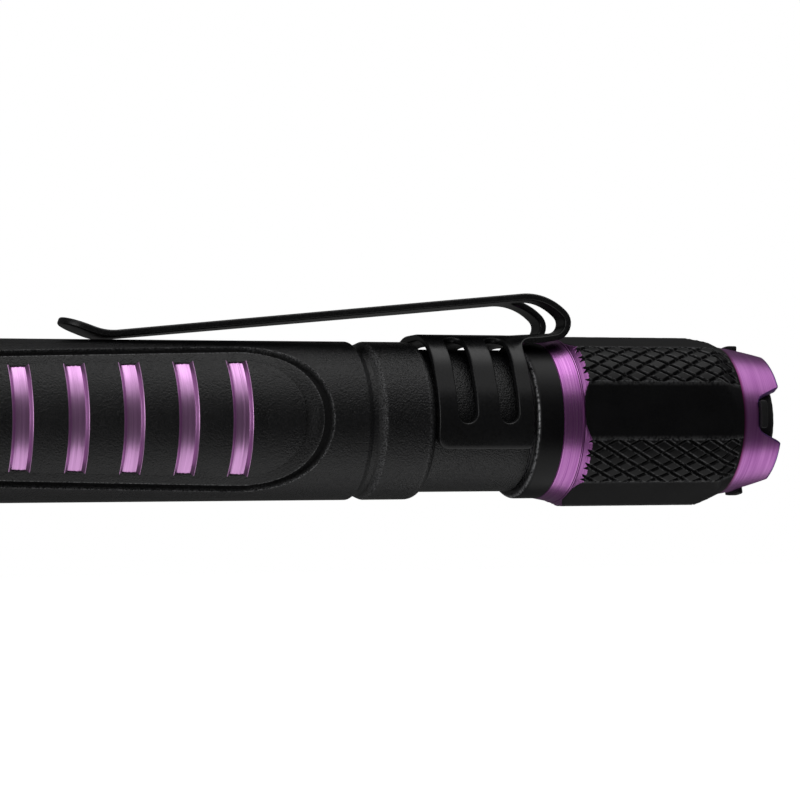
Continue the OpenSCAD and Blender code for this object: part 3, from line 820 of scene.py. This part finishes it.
def cap_skin():
    """Black where the cap was anodised first, and purple where the ring and chamfer were turned later."""
    n = Nodes("tail_cap_skin")
    grain = n.noise(0.13, 2.0, 0.6)
    cloud = n.noise(5.0, 3.0)
    tone = n.remap(n.math("ADD", grain, cloud), 0.7, 1.3)
    black = n.mix(tone, (0.001, 0.001, 0.0012), (0.0045, 0.0045, 0.005))
    n.set(Specular_IOR_Level=0.15)
    # Along one set of knurl ridges this bright metal is a painted highlight; at the lip and the rims of the
    # flats it is rubbed wear.
    rub = n.math("MULTIPLY", n.field("edge"), n.remap(n.noise(0.3, 3.0), 0.36, 0.56), True)
    black = n.mix(rub, black, (0.34, 0.34, 0.35))
    lines = n.noise(0, 3.0, 0.6, n.lathe_coords(0.08, 14.0))
    purple = n.mix(n.remap(lines, 0.36, 0.64), (0.28, 0.085, 0.30), (0.46, 0.19, 0.46))
    ragged = n.math("ADD", n.field("bare"), n.remap(n.noise(0.25, 3.0), 0.3, 0.7, -0.03, 0.03))
    share = n.remap(ragged, -0.004, 0.004)
    n.set(Base_Color=n.mix(share, black, purple))
    n.set(Metallic=n.math("MAXIMUM", share, n.math("MULTIPLY", rub, 0.8)))
    matt = n.remap(tone, 0, 1, 0.33, 0.42)
    satin = n.remap(lines, 0.3, 0.7, 0.36, 0.26)
    mixed = n.weighed(satin, share, matt, n.math("SUBTRACT", 1.0, share))
    n.set(Roughness=mixed)
    n.set(Normal=n.bump(grain, 0.005))
    return n.material


CAP_SKIN = cap_skin()
make_cap_grip()


def crown_sector(tip_x, floor_x, floor_half, tip_half, fillet, arc):
    """Half of a notch's edge, from the middle of the tooth beside it to the middle of its floor."""
    middle, tip, floor, end = (tip_x, arc / 2), (tip_x, tip_half), (floor_x, floor_half), (floor_x, 0)
    out = [middle] + corner_arc(middle, tip, floor, NOTCH_TIP_ROUND, count=8)
    return [np.array(p) for p in out + corner_arc(tip, floor, end, fillet, count=8) + [end]]


def make_notched(name, base_x, tip_x, floor_x, floor_half, tip_half, fillet, count, turn, outer_r, inner_r,
                 mid_r, material, body, node, slot):
    """A ring with notches in one end. Its edge is one closed line round the pen; rings of corners run from
    that line to the base, and rounded rims join the outer and inner walls."""
    arc = TAU * mid_r / count
    half_line = crown_sector(tip_x, floor_x, floor_half, tip_half, fillet, arc)
    fine = []
    for a, b in zip(half_line, half_line[1:]):
        n = max(1, int(math.ceil(np.linalg.norm(b - a) / 0.12)))
        fine += [a + (b - a) * k / n for k in range(n)]
    fine.append(half_line[-1])
    line = [(p[0], -p[1]) for p in fine[:-1]] + [(p[0], p[1]) for p in fine[::-1]]
    edge_line = np.array([(x, s + arc * k) for k in range(count) for x, s in line[:-1]])
    total = arc * count
    ahead = np.roll(edge_line, -1, 0) - edge_line
    ahead[-1, 1] += total
    behind = np.roll(ahead, 1, 0)
    normal = np.zeros_like(edge_line)
    toward = 1 if tip_x > base_x else -1
    for d in (ahead, behind):
        d = d / np.linalg.norm(d, axis=1)[:, None]
        normal += np.stack([-toward * np.abs(d[:, 1]), toward * d[:, 0]], -1)
    normal /= np.maximum((normal * normal).sum(1, keepdims=True) / 2, 0.6)
    rim = 0.1
    rows, edge_field = [], []
    angles = [math.radians(d) for d in (0, 30, 60, 90)]
    bevel = [(rim * (1 - math.cos(t)), rim * (1 - math.sin(t))) for t in angles]
    shares = [0.04, 0.12, 0.25, 0.4, 0.55, 0.7, 0.85, 1.0]

    def wall(side):
        made = [(edge_line + normal * inset, side, drop, 0.8) for inset, drop in bevel]
        last = edge_line + normal * rim
        for share in shares:
            p = last.copy()
            p[:, 0] = last[:, 0] + (base_x - last[:, 0]) * share
            p[:, 1] = last[:, 1] + (edge_line[:, 1] - last[:, 1]) * share
            made.append((p, side, 0.0, 0.0))
        return made

    rings = wall(1)[::-1] + wall(-1)
    for p, side, drop, mark in rings:
        radius = (outer_r(p[:, 0]) - drop) if side == 1 else (inner_r(p[:, 0]) + drop)
        angle = p[:, 1] / mid_r + math.radians(turn)
        rows.append(ring_points(p[:, 0], radius, angle))
        edge_field.append(np.full(len(p), mark))
    cols = len(edge_line)
    faces = grid_faces(len(rows), cols, True)
    if toward == -1:
        faces = faces[:, ::-1]
    fields = {"edge": np.concatenate(edge_field)}
    piece = new_piece(name, np.concatenate(rows), faces, [material], fields=fields, sharp=60)
    ride(piece, body, slot, node)


def crown_skin():
    """Satin purple anodise, darker and redder where the crown meets the black, violet along its edges."""
    n = Nodes("crown_skin")
    lines = n.noise(0, 3.0, 0.6, n.lathe_coords(0.07, 14.0))
    broad = n.noise(0, 2.0, 0.5, n.lathe_coords(0.6, 10.0))
    mixed = n.weighed(lines, 0.5, broad, 0.5)
    purple = n.mix(n.remap(mixed, 0.38, 0.62), (0.35, 0.115, 0.37), (0.50, 0.20, 0.51))
    split = n.add("ShaderNodeSeparateXYZ")
    n.join(n.coords, split.inputs[0])
    base = n.remap(split.outputs[0], (CROWN_FROM + 0.02) * MM, (CROWN_FROM + 0.4) * MM, 1.0, 0.0)
    purple = n.mix(base, purple, (0.13, 0.012, 0.07))
    violet = n.math("MULTIPLY", n.field("edge"), n.remap(n.noise(0.4, 2.0), 0.3, 0.6), True)
    n.set(Base_Color=n.mix(violet, purple, (0.16, 0.08, 0.42)))
    n.set(Metallic=1.0)
    n.set(Roughness=n.remap(mixed, 0.3, 0.7, 0.38, 0.28))
    normal = n.bump(mixed, 0.0015)
    n.set(Normal=n.bump(n.noise(0.12, 2.0), 0.0012, before=normal))
    return n.material


def crown_outer(x):
    base_r = CROWN_BASE_R - 0.03
    return base_r + (CROWN_TIP_R - base_r) * (x - CROWN_FROM) / (CAP_HI[0] - CROWN_FROM)


def crown_inner(x):
    return np.full_like(x, CROWN_BORE_R)


make_notched("tail_cap_crown", CROWN_FROM - 0.1, CAP_HI[0], NOTCH_FLOOR, 1.55, 2.95, 1.0, 4, NOTCH_TURN,
             crown_outer, crown_inner, (CROWN_TIP_R + CROWN_BASE_R) / 2, crown_skin(), "tail_cap", "tail_cap",
             "purple_anodise")


# ---------------------------------------------------------------- clip
CLIP_T = 0.65
CLIP_HALF = 4.3
CLIP_TIP_HALF = 2.4
COLLAR_MID = 7.185
COLLAR_REAR = 12.45
PLATE_Z = 7.85
STRIP_Z = 8.05
STEP_FROM = 12.2
STEP_TO = 15.4
STRIP_DROP = 0.42
CORNER_R = 5.2
SIDE_ANGLE = 22
OPEN_ANGLE = 23.5
ARM_SLOPE = 5.4
BEND_X = 16.25
BEND_LOW_R = 1.2
BEND_HIGH_R = 5.4
BEND_BLEND = 45
FORK_X = 13.5
FORK_HALF = 1.8
SLOTS = (4.75, 8.95)
SLOT_WIDE = 1.95
SLOT_TOP = 2.95
SLOT_LOW_Z = -0.5
TAPER_X = 3.0
CURL_X = -26.6
CURL_R = 5.0
CURL_ANGLE = 20
TIP_LEN = 3.0


def measured(points, directions, start):
    """A line without its doubled points, as distances along it, positions and directions."""
    points, directions = np.array(points), np.array(directions)
    keep = np.concatenate([[True], np.linalg.norm(np.diff(points, axis=0), axis=1) > 1e-6])
    points, directions = points[keep], directions[keep]
    sides = np.linalg.norm(np.diff(points, axis=0), axis=1)
    return np.concatenate([[0], np.cumsum(sides)]) + start, points, directions


def clip_path():
    """The clip's middle line seen from the side, from the collar's front edge round the bend to the curled
    tip, as distances along it, positions and upward directions."""
    points, ups = [], []

    def add_arc(cx, cz, r, a0, a1, outward):
        n = max(6, int(abs(math.radians(a1 - a0)) * r / 0.08))
        for a in (math.radians(a0 + (a1 - a0) * k / n) for k in range(n + 1)):
            points.append((cx + r * math.cos(a), cz + r * math.sin(a)))
            ups.append((outward * math.cos(a), outward * math.sin(a)))

    def add_line(p, q, up):
        n = max(2, int(math.dist(p, q) / 0.3))
        for t in (k / n for k in range(n + 1)):
            points.append((p[0] + (q[0] - p[0]) * t, p[1] + (q[1] - p[1]) * t))
            ups.append(up)

    low_z = STRIP_Z + BEND_LOW_R
    shift = (BEND_HIGH_R - BEND_LOW_R) * math.sqrt(0.5)
    add_line((COLLAR_FRONT, PLATE_Z), (STEP_FROM, PLATE_Z), (0, 1))
    add_line((STEP_FROM, PLATE_Z), (STEP_TO, STRIP_Z), (0, 1))
    add_line((STEP_TO, STRIP_Z), (BEND_X, STRIP_Z), (0, 1))
    add_arc(BEND_X, low_z, BEND_LOW_R, -90, BEND_BLEND, -1)
    add_arc(BEND_X - shift, low_z - shift, BEND_HIGH_R, BEND_BLEND, 90 + ARM_SLOPE, -1)
    slope = math.radians(ARM_SLOPE)
    start = points[-1]
    end = (CURL_X, start[1] + (CURL_X - start[0]) * math.tan(slope))
    inner = (math.sin(slope), -math.cos(slope))
    add_line(start, end, inner)
    centre = (end[0] - inner[0] * CURL_R, end[1] - inner[1] * CURL_R)
    add_arc(centre[0], centre[1], CURL_R, -90 + ARM_SLOPE, -90 - CURL_ANGLE, 1)
    last, up = points[-1], ups[-1]
    along = math.radians(180 - CURL_ANGLE)
    add_line(last, (last[0] + TIP_LEN * math.cos(along), last[1] + TIP_LEN * math.sin(along)), up)
    return measured(points, ups, COLLAR_FRONT)


def collar_section():
    """The collar's middle line seen along the pen, from the middle of its top, as distances, positions and
    outward directions."""
    corner_z = PLATE_Z - CORNER_R
    tilt = math.radians(SIDE_ANGLE)
    corner_y = (COLLAR_MID - CORNER_R - corner_z * math.sin(tilt)) / math.cos(tilt)
    points, outs = [(0.0, PLATE_Z), (corner_y, PLATE_Z)], [(0, 1), (0, 1)]
    for a in np.radians(np.linspace(90, SIDE_ANGLE, 30)):
        points.append((corner_y + CORNER_R * math.cos(a), corner_z + CORNER_R * math.sin(a)))
        outs.append((math.cos(a), math.sin(a)))
    for a in np.radians(np.linspace(SIDE_ANGLE, -OPEN_ANGLE, 40)):
        points.append((COLLAR_MID * math.cos(a), COLLAR_MID * math.sin(a)))
        outs.append((math.cos(a), math.sin(a)))
    return measured(points, outs, 0)


def make_clip():
    run, path, ups = clip_path()
    across, section, outs = collar_section()
    edge_v = float(across[-1])
    low_v = float(np.interp(-SLOT_LOW_Z, -section[:, 1], across))
    rear = COLLAR_REAR
    tip_u = float(run[-1])
    past_bend = run > run[np.argmax(path[:, 0])]
    bend_u = float(run[np.argmax(path[:, 0])])
    taper_u = float(np.interp(-TAPER_X, -path[past_bend, 0], run[past_bend]))
    tip_c = tip_u - CLIP_TIP_HALF
    fork_from = float(np.interp(FORK_X, path[~past_bend, 0], run[~past_bend]))
    fork_to = float(np.interp(-FORK_X, -path[past_bend, 0], run[past_bend]))

    # The strip's upper side on the flat is the collar's outside and the arm's inside, as it is on the pen.
    def place(u, v, w):
        px, pz = np.interp(u, run, path[:, 0]), np.interp(u, run, path[:, 1])
        nx, nz = np.interp(u, run, ups[:, 0]), np.interp(u, run, ups[:, 1])
        size = np.hypot(nx, nz)
        nx, nz = nx / size, nz / size
        av = np.abs(v)
        sy, sz = np.interp(av, across, section[:, 0]), np.interp(av, across, section[:, 1])
        oy, oz = np.interp(av, across, outs[:, 0]), np.interp(av, across, outs[:, 1])
        size = np.hypot(oy, oz)
        oy, oz = oy / size, oz / size
        wrapped = np.stack([px, np.sign(v) * (sy + w * oy), sz + w * oz], -1)
        sag = STRIP_DROP * (av / CLIP_HALF) ** 2 * smooth((bend_u - u) / 3.5)
        strip = np.stack([px + w * nx, v, pz + w * nz - sag], -1)
        share = (smooth((u - rear + 0.9) / 1.9) * smooth((CLIP_HALF + 1.3 - av) / 1.3))[:, None]
        return wrapped * (1 - share) + strip * share

    def arc(cx, cy, r, a0, a1, n):
        angles = [math.radians(a0 + (a1 - a0) * k / n) for k in range(n + 1)]
        return [(cx + r * math.cos(t), cy + r * math.sin(t)) for t in angles]

    front = COLLAR_FRONT
    half = filleted([(front, -edge_v, 1.1), (rear, -edge_v, 0.5), (rear, -CLIP_HALF, 0.7),
                     (taper_u, -CLIP_HALF, 0), (tip_c, -CLIP_TIP_HALF, 0), (tip_c + 0.01, CLIP_TIP_HALF, 0),
                     (taper_u, CLIP_HALF, 0), (rear, CLIP_HALF, 0.7), (rear, edge_v, 0.5),
                     (front, edge_v, 1.1)], 0.3)
    before_tip = tip_c - 0.001
    k = next(i for i, (p, q) in enumerate(zip(half, half[1:])) if p[0] < before_tip <= q[0])
    outline = half[: k + 1] + arc(tip_c, 0, CLIP_TIP_HALF, -90, 90, 16)
    outline = dense(outline + [p for p in half[k + 1:] if p[0] < before_tip], 0.3)

    def slot_loop(u0, u1, v0, v1):
        r = (u1 - u0) / 2
        loop = arc((u0 + u1) / 2, v0 + r, r, 180, 360, 12) + arc((u0 + u1) / 2, v1 - r, r, 0, 180, 12)
        return dense(loop, 0.3)[::-1]

    holes = []
    for u0 in SLOTS:
        holes.append(slot_loop(u0, u0 + SLOT_WIDE, SLOT_TOP, low_v))
        holes.append(slot_loop(u0, u0 + SLOT_WIDE, -low_v, -SLOT_TOP))
    r = FORK_HALF
    fork = arc(fork_from + r, 0, r, 90, 270, 12) + arc(fork_to - r, 0, r, -90, 90, 12)
    holes.append(dense(fork, 0.3)[::-1])
    us = steps(front, 11.2, 0.55) + steps(11.2, 14.0, 0.2) + steps(14.0, fork_to, 0.14)
    us += steps(fork_to, taper_u, 0.9) + steps(taper_u, tip_u - 9, 1.2) + steps(tip_u - 9, tip_u, 0.35)
    us = merged(us, 0.05)
    vs = merged(steps(-edge_v, edge_v, 0.5), 0.05)

    def edge_field(uvw):
        return (np.abs(uvw[:, 2]) < CLIP_T / 2 - 0.005).astype(float) * 0.05

    fields = {"edge": edge_field}
    piece = plate("clip_spring", [outline] + holes, place, CLIP_T, 0.17, us, vs, [SPRING_BLACK], fields)
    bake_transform(piece)
    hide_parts("clip_collar", "clip_arm")


make_clip()


# ---------------------------------------------------------------- tail button
LUG_HALF = 1.3
LUG_THICK = 2.4
LUG_MID_R = 6.2
LUG_WRAP_R = 6.9


def make_boot():
    top = BOOT_HI[0]
    outer_r, wall = 5.4, 0.9
    flange_r = CAP_BORE_R - 0.1
    outline = [
        (BOOT_LO[0], outer_r - wall), (BOOT_LO[0], flange_r), (33.5, flange_r), (33.5, outer_r),
        (top - 0.5, outer_r), (top - 0.12, outer_r - 0.35), (top, outer_r - 0.9), (top - 0.12, outer_r - 1.3),
        (top - 0.22, 3.2), (top - 0.26, 0.02),
    ]
    inner = [(top - 0.95, 0.02), (top - 0.95, outer_r - wall)]
    outline = rounded(outline + inner + [outline[0]], 0.12, 4)[:-1]
    xs = np.array([p[0] for p in outline])
    rs = np.array([max(p[1], 0.01) for p in outline])
    fine_x, fine_r = [], []
    for k in range(len(xs)):
        a, b = k, (k + 1) % len(xs)
        n = max(1, int(math.hypot(xs[b] - xs[a], rs[b] - rs[a]) / 0.22))
        fine_x += [xs[a] + (xs[b] - xs[a]) * t / n for t in range(n)]
        fine_r += [rs[a] + (rs[b] - rs[a]) * t / n for t in range(n)]
    segments = 288
    x, r, a = lathe_grid(fine_x, fine_r, segments)
    rim = bell(r - 4.55, 0.45) * (x > top - 0.6)
    ribs = 0.5 + 0.5 * np.cos(a * 36)
    x = x - 0.05 * rim * ribs
    dots = np.clip(np.cos(r * 5.2) * np.cos(a * 12), 0, 1) * (r < 3.6) * (x > top - 0.6) * smooth(r / 0.8)
    x = x + 0.07 * dots
    faces = grid_faces(len(fine_x), segments, True)
    piece = new_piece("switch_boot_skin", ring_points(x, r, a), faces, [RUBBER], sharp=50)
    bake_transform(piece)
    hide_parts("switch_boot")
    for k in range(4):
        a = math.radians(90 * k + NOTCH_TURN)
        low, high = NOTCH_FLOOR + 0.03, NOTCH_FLOOR + 0.75
        lug = [(low, -LUG_HALF, 0.15), (high, -LUG_HALF, 0.25), (high, LUG_HALF, 0.25), (low, LUG_HALF, 0.15)]

        def place(u, v, w, a=a):
            return ring_points(u, LUG_MID_R + w, a + v / LUG_WRAP_R)

        us, vs = steps(NOTCH_FLOOR, NOTCH_FLOOR + 0.8, 0.25), steps(-LUG_HALF, LUG_HALF, 0.3)
        piece = plate(f"switch_boot_lug_{k}", [filleted(lug, 0.2)], place, LUG_THICK, 0.12, us, vs, [RUBBER])
        ride(piece, "tail_cap", "black_rubber", "switch_boot")


make_boot()


# ---------------------------------------------------------------- head
HEAD_BORE_R = 6.45
BEZEL_SEAT_R = 6.95
HEAD_GROOVE = -72.6
HEAD_GROOVE_STEP = 1.9
BEZEL_TIP_R = 7.0
BEZEL_CONE = 3.4
BEZEL_LEN = 5.3
SEAT_R = 6.33


def make_head():
    front, rear = HEAD_LO[0], HEAD_HI[0]
    outline = [(front, BEZEL_SEAT_R), (front, HEAD_R - 0.12), (front + 0.12, HEAD_R)]
    for k in (2, 1, 0):
        x = HEAD_GROOVE - HEAD_GROOVE_STEP * k
        floor_r = HEAD_R - 0.48
        outline += [(x - 1.02, HEAD_R), (x - 0.86, floor_r), (x - 0.14, floor_r), (x + 0.02, HEAD_R)]
    outline += [(rear - 0.15, HEAD_R), (rear, HEAD_R - 0.15), (rear, HEAD_BORE_R)]
    outline += [(front + 3, HEAD_BORE_R), (front + 3, BEZEL_SEAT_R)]
    outline = rounded(outline + outline[:2], 0.06, 3)[1:-1]
    segments = 160
    x, r, a = lathe_grid([p[0] for p in outline], [p[1] for p in outline], segments)
    edge = np.zeros(x.shape)
    for k in range(3):
        for side in (-1.02, 0.02):
            rub = bell(x - (HEAD_GROOVE - HEAD_GROOVE_STEP * k) - side, 0.07)
            edge = np.maximum(edge, 0.5 * rub * (r > HEAD_R - 0.1))
    edge = np.maximum(edge, 0.6 * bell(x - front, 0.1))
    faces = grid_faces(len(outline), segments, True)
    fields = {"edge": edge}
    piece = new_piece("head_shell_tube", ring_points(x, r, a), faces, [BLACK], fields=fields, sharp=38)
    ride(piece, "barrel", "black_anodise", "head_shell")

    seat = LENS_LO[0] - 0.05

    def bezel_outer(x):
        return np.where(x < BEZEL_LO[0] + BEZEL_CONE,
                        BEZEL_TIP_R + (BARREL_R - BEZEL_TIP_R) * (x - BEZEL_LO[0]) / BEZEL_CONE, BARREL_R)

    def bezel_inner(x):
        return np.where(x < seat, 5.3 + 0.35 * smooth((seat - 1.2 - x) / 0.8), SEAT_R)

    tip = BEZEL_LO[0]
    make_notched("front_bezel_ring", tip + BEZEL_LEN, tip, tip + 0.9, 1.35, 1.75, 0.4, 4, 45, bezel_outer,
                 bezel_inner, BEZEL_TIP_R, PURPLE_CAP, "barrel", "front_bezel", "purple_anodise")
    disc = [(LENS_LO[0], 0.0), (LENS_LO[0], LENS_HI[2]), (LENS_HI[0], LENS_HI[2]), (LENS_HI[0], 0.0)]
    lens = turned("window_glass", disc, GLASS, 0.14, 96, closed=False, sharp=30)
    ride(lens, "barrel", "clear_glass", "window_lens")

    mouth_x, base_x = REFLECTOR_LO[0], REFLECTOR_HI[0]
    bowl = [(base_x + (mouth_x - base_x) * t, 1.9 + 3.1 * math.sqrt(t)) for t in (k / 24 for k in range(25))]
    rim_r = REFLECTOR_HI[2]
    profile = bowl + [(mouth_x, rim_r), (mouth_x + 1.0, rim_r), (mouth_x + 1.4, 5.6), (base_x, 2.6)]
    cup = turned("reflector_cup", profile, MIRROR, 0.04, 96, sharp=40)
    ride(cup, "barrel", "reflector_metal", "reflector")


def make_led():
    """A ceramic package with a square chip on it, under a clear silicone dome."""
    back, half = LED_HI[0], LED_HI[1]

    def place(u, v, w):
        return np.stack([back - 0.4 - w, u, v], -1)

    def square(side_half, fillet):
        return [(u * side_half, v * side_half, fillet) for u, v in ((-1, -1), (1, -1), (1, 1), (-1, 1))]

    grid = steps(-half, half, 0.4)
    outline = filleted(square(half, 0.2), 0.2)
    base = plate("uv_led_package", [outline], place, 0.8, 0.08, grid, grid, [CERAMIC])
    ride(base, "barrel", "led_ceramic", "uv_led")

    def place_chip(u, v, w):
        return np.stack([back - 0.84 - w, u, v], -1)

    grid = steps(-0.5, 0.5, 0.2)
    outline = filleted(square(0.55, 0.05), 0.1)
    chip = plate("uv_led_chip", [outline], place_chip, 0.12, 0.03, grid, grid, [CHIP])
    ride(chip, "barrel", "led_ceramic")
    dome_r, dome_x = 1.05, back - 0.8
    angles = [math.radians(d) for d in range(0, 91, 6)]
    profile = [(dome_x - dome_r * math.cos(t), dome_r * math.sin(t)) for t in angles] + [(dome_x, 0.0)]
    dome = turned("uv_led_dome", profile, DOME, 0.02, 48, closed=False)
    ride(dome, "barrel", "clear_glass")


make_head()
make_led()


# ---------------------------------------------------------------- inside parts
def make_cell(node, name):
    lo, hi = box_mm(node)
    r = hi[2]
    jacket_r = r - 0.02
    profile = [
        (lo[0], 0.0), (lo[0], 1.75), (lo[0] + 0.15, 1.9), (lo[0] + 1.0, 1.9), (lo[0] + 1.05, 3.6),
        (lo[0] + 1.15, 3.7), (lo[0] + 1.1, 4.6), (lo[0] + 1.3, 5.0), (lo[0] + 1.6, jacket_r),
        (hi[0] - 0.5, jacket_r), (hi[0] - 0.25, 5.0), (hi[0] - 0.2, 4.4), (hi[0], 4.2), (hi[0], 0.0),
    ]
    cell = turned(name, profile, JACKET, 0.1, 96, closed=False, sharp=40)
    cell.data.materials.append(STEEL)
    for poly in cell.data.polygons:
        c = poly.center / MM
        if c.x < lo[0] + 1.0 or (c.x > hi[0] - 0.28 and math.hypot(c.y, c.z) < 4.7):
            poly.material_index = 1
    ride(cell, "barrel", "cell_jacket", node)


make_cell("front_cell", "front_cell_can")
make_cell("rear_cell", "rear_cell_can")
for node, name, radius, turns, body, slot, material in (
    ("front_contact_spring", "front_contact_coil", 2.4, 2.5, "barrel", "gold_spring", GOLD),
    ("tail_spring", "tail_coil", 3.3, 2.5, "cap_carrier", "gold_spring", GOLD),
    ("switch_return_spring", "switch_return_coil", 2.4, 4.0, "tail_cap", "steel_spring", STEEL),
):
    lo, hi = box_mm(node)
    wound = coil(name, lo[0], hi[0], radius, 0.5, turns, material)
    ride(wound, body, slot, node)
    if node == "switch_return_spring":
        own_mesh(wound)

FINISHES = {
    "window_seal": O_RING, "led_board": WHITE_MASK, "heat_sink_pill": BRASS, "driver_board": GREEN_MASK,
    "head_o_ring": O_RING, "tail_o_ring": O_RING, "contact_plate": BRASS, "switch_retaining_ring": BRASS,
    "switch_housing": BLACK_NYLON, "switch_plunger": ACETAL, "boot_washer": STEEL,
}
for node, material in FINISHES.items():
    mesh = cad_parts[node].data
    mesh.materials.clear()
    mesh.materials.append(material)

# ---------------------------------------------------------------- camera, floor and light
AIM = Vector((1.7, 0, 1.979)) * MM
BACK = Vector((-math.sin(math.radians(20.5)), -math.cos(math.radians(20.5)), 0)) * math.cos(math.radians(2.5))
BACK.z = -math.sin(math.radians(2.5))
RIGHT = (-BACK).cross(Vector((0, 0, 1))).normalized()
UP = RIGHT.cross(-BACK).normalized()
DISTANCE = 300 * MM
ROLL = math.radians(-0.795)
LENS = 141.7


def make_camera():
    camera = bpy.data.objects.new("camera", bpy.data.cameras.new("camera"))
    bpy.context.scene.collection.objects.link(camera)
    turned_right = RIGHT * math.cos(ROLL) + UP * math.sin(ROLL)
    turned_up = UP * math.cos(ROLL) - RIGHT * math.sin(ROLL)
    place = Matrix((turned_right, turned_up, BACK)).transposed().to_4x4()
    place.translation = AIM + BACK * DISTANCE
    camera.matrix_world = place
    camera.data.lens = LENS
    camera.data.sensor_width = 36
    camera.data.clip_start, camera.data.clip_end = 0.01, 20
    bpy.context.scene.camera = camera


def make_floor():
    """A wide pale floor below and behind the pen, lit until it is as white as the backdrop."""
    z, near, far, side = -60.0, 90.0, 4000.0, 3000.0
    xs, ys = np.linspace(-side, side, 9), np.array([near, 300, 1000, far])
    verts = [(x, y, z) for y in ys for x in xs]
    n = len(xs)
    corners = [j * n + i for j in range(len(ys) - 1) for i in range(n - 1)]
    faces = [(k, k + 1, k + n + 1, k + n) for k in corners]
    paint = Nodes("pale_floor")
    cloud = paint.noise(120.0, 3.0)
    paint.set(Base_Color=paint.mix(paint.remap(cloud, 0.3, 0.7), (0.84, 0.84, 0.84), (0.88, 0.88, 0.88)))
    paint.set(Roughness=paint.remap(cloud, 0.3, 0.7, 0.55, 0.65))
    paint.set(Emission_Color=(1, 1, 1, 1), Emission_Strength=0.85)
    floor = new_piece("floor", verts, faces, [paint.material])
    floor.visible_glossy = False


LAMP_AWAY = 0.42


def make_lamp(name, kind, energy, direction):
    light = bpy.data.lights.new(name, kind)
    light.energy = energy
    lamp = bpy.data.objects.new(name, light)
    bpy.context.scene.collection.objects.link(lamp)
    lamp.rotation_mode = "QUATERNION"
    lamp.rotation_quaternion = Vector(direction).to_track_quat("Z", "Y")
    return light, lamp


def make_softbox(name, direction, size, energy):
    """A soft light that shines at the pen from a direction."""
    direction = Vector(direction).normalized()
    box, lamp = make_lamp(name, "AREA", energy, direction)
    box.shape, box.size, box.size_y = "RECTANGLE", size[0], size[1]
    lamp.location = AIM + direction * LAMP_AWAY


def make_lights():
    """A long softbox above the camera's side of the pen, one below it, one off the head, and a sun."""
    mirrored_back = Vector((-BACK.x, BACK.y, BACK.z))
    for name, degrees, energy in (("top_softbox", 70, 1.25), ("low_softbox", -70, 1.35)):
        above = math.radians(degrees)
        make_softbox(name, mirrored_back * math.cos(above) + UP * math.sin(above), (0.9, 0.48), energy)
    make_softbox("head_side_softbox", (-0.82, -0.55, 0.12), (0.25, 0.3), 0.5)
    sun = make_lamp("floor_light", "SUN", 0.5, (0.25, -0.15, 1))[0]
    sun.angle = math.radians(40)


def make_world():
    """White where the camera looks past the floor, and dim all round the pen."""
    world = bpy.data.worlds.new("studio")
    bpy.context.scene.world = world
    world.use_nodes = True
    tree = world.node_tree
    tree.nodes.clear()
    out = tree.nodes.new("ShaderNodeOutputWorld")
    both = tree.nodes.new("ShaderNodeMixShader")
    path = tree.nodes.new("ShaderNodeLightPath")
    dim, white = tree.nodes.new("ShaderNodeBackground"), tree.nodes.new("ShaderNodeBackground")
    dim.inputs[0].default_value, dim.inputs[1].default_value = (1, 1, 1, 1), 0.08
    white.inputs[0].default_value, white.inputs[1].default_value = (1, 1, 1, 1), 1.0
    tree.links.new(path.outputs["Is Camera Ray"], both.inputs[0])
    tree.links.new(dim.outputs[0], both.inputs[1])
    tree.links.new(white.outputs[0], both.inputs[2])
    tree.links.new(both.outputs[0], out.inputs[0])


make_camera()
make_floor()
make_lights()
make_world()
bpy.context.scene.view_settings.view_transform = "Standard"
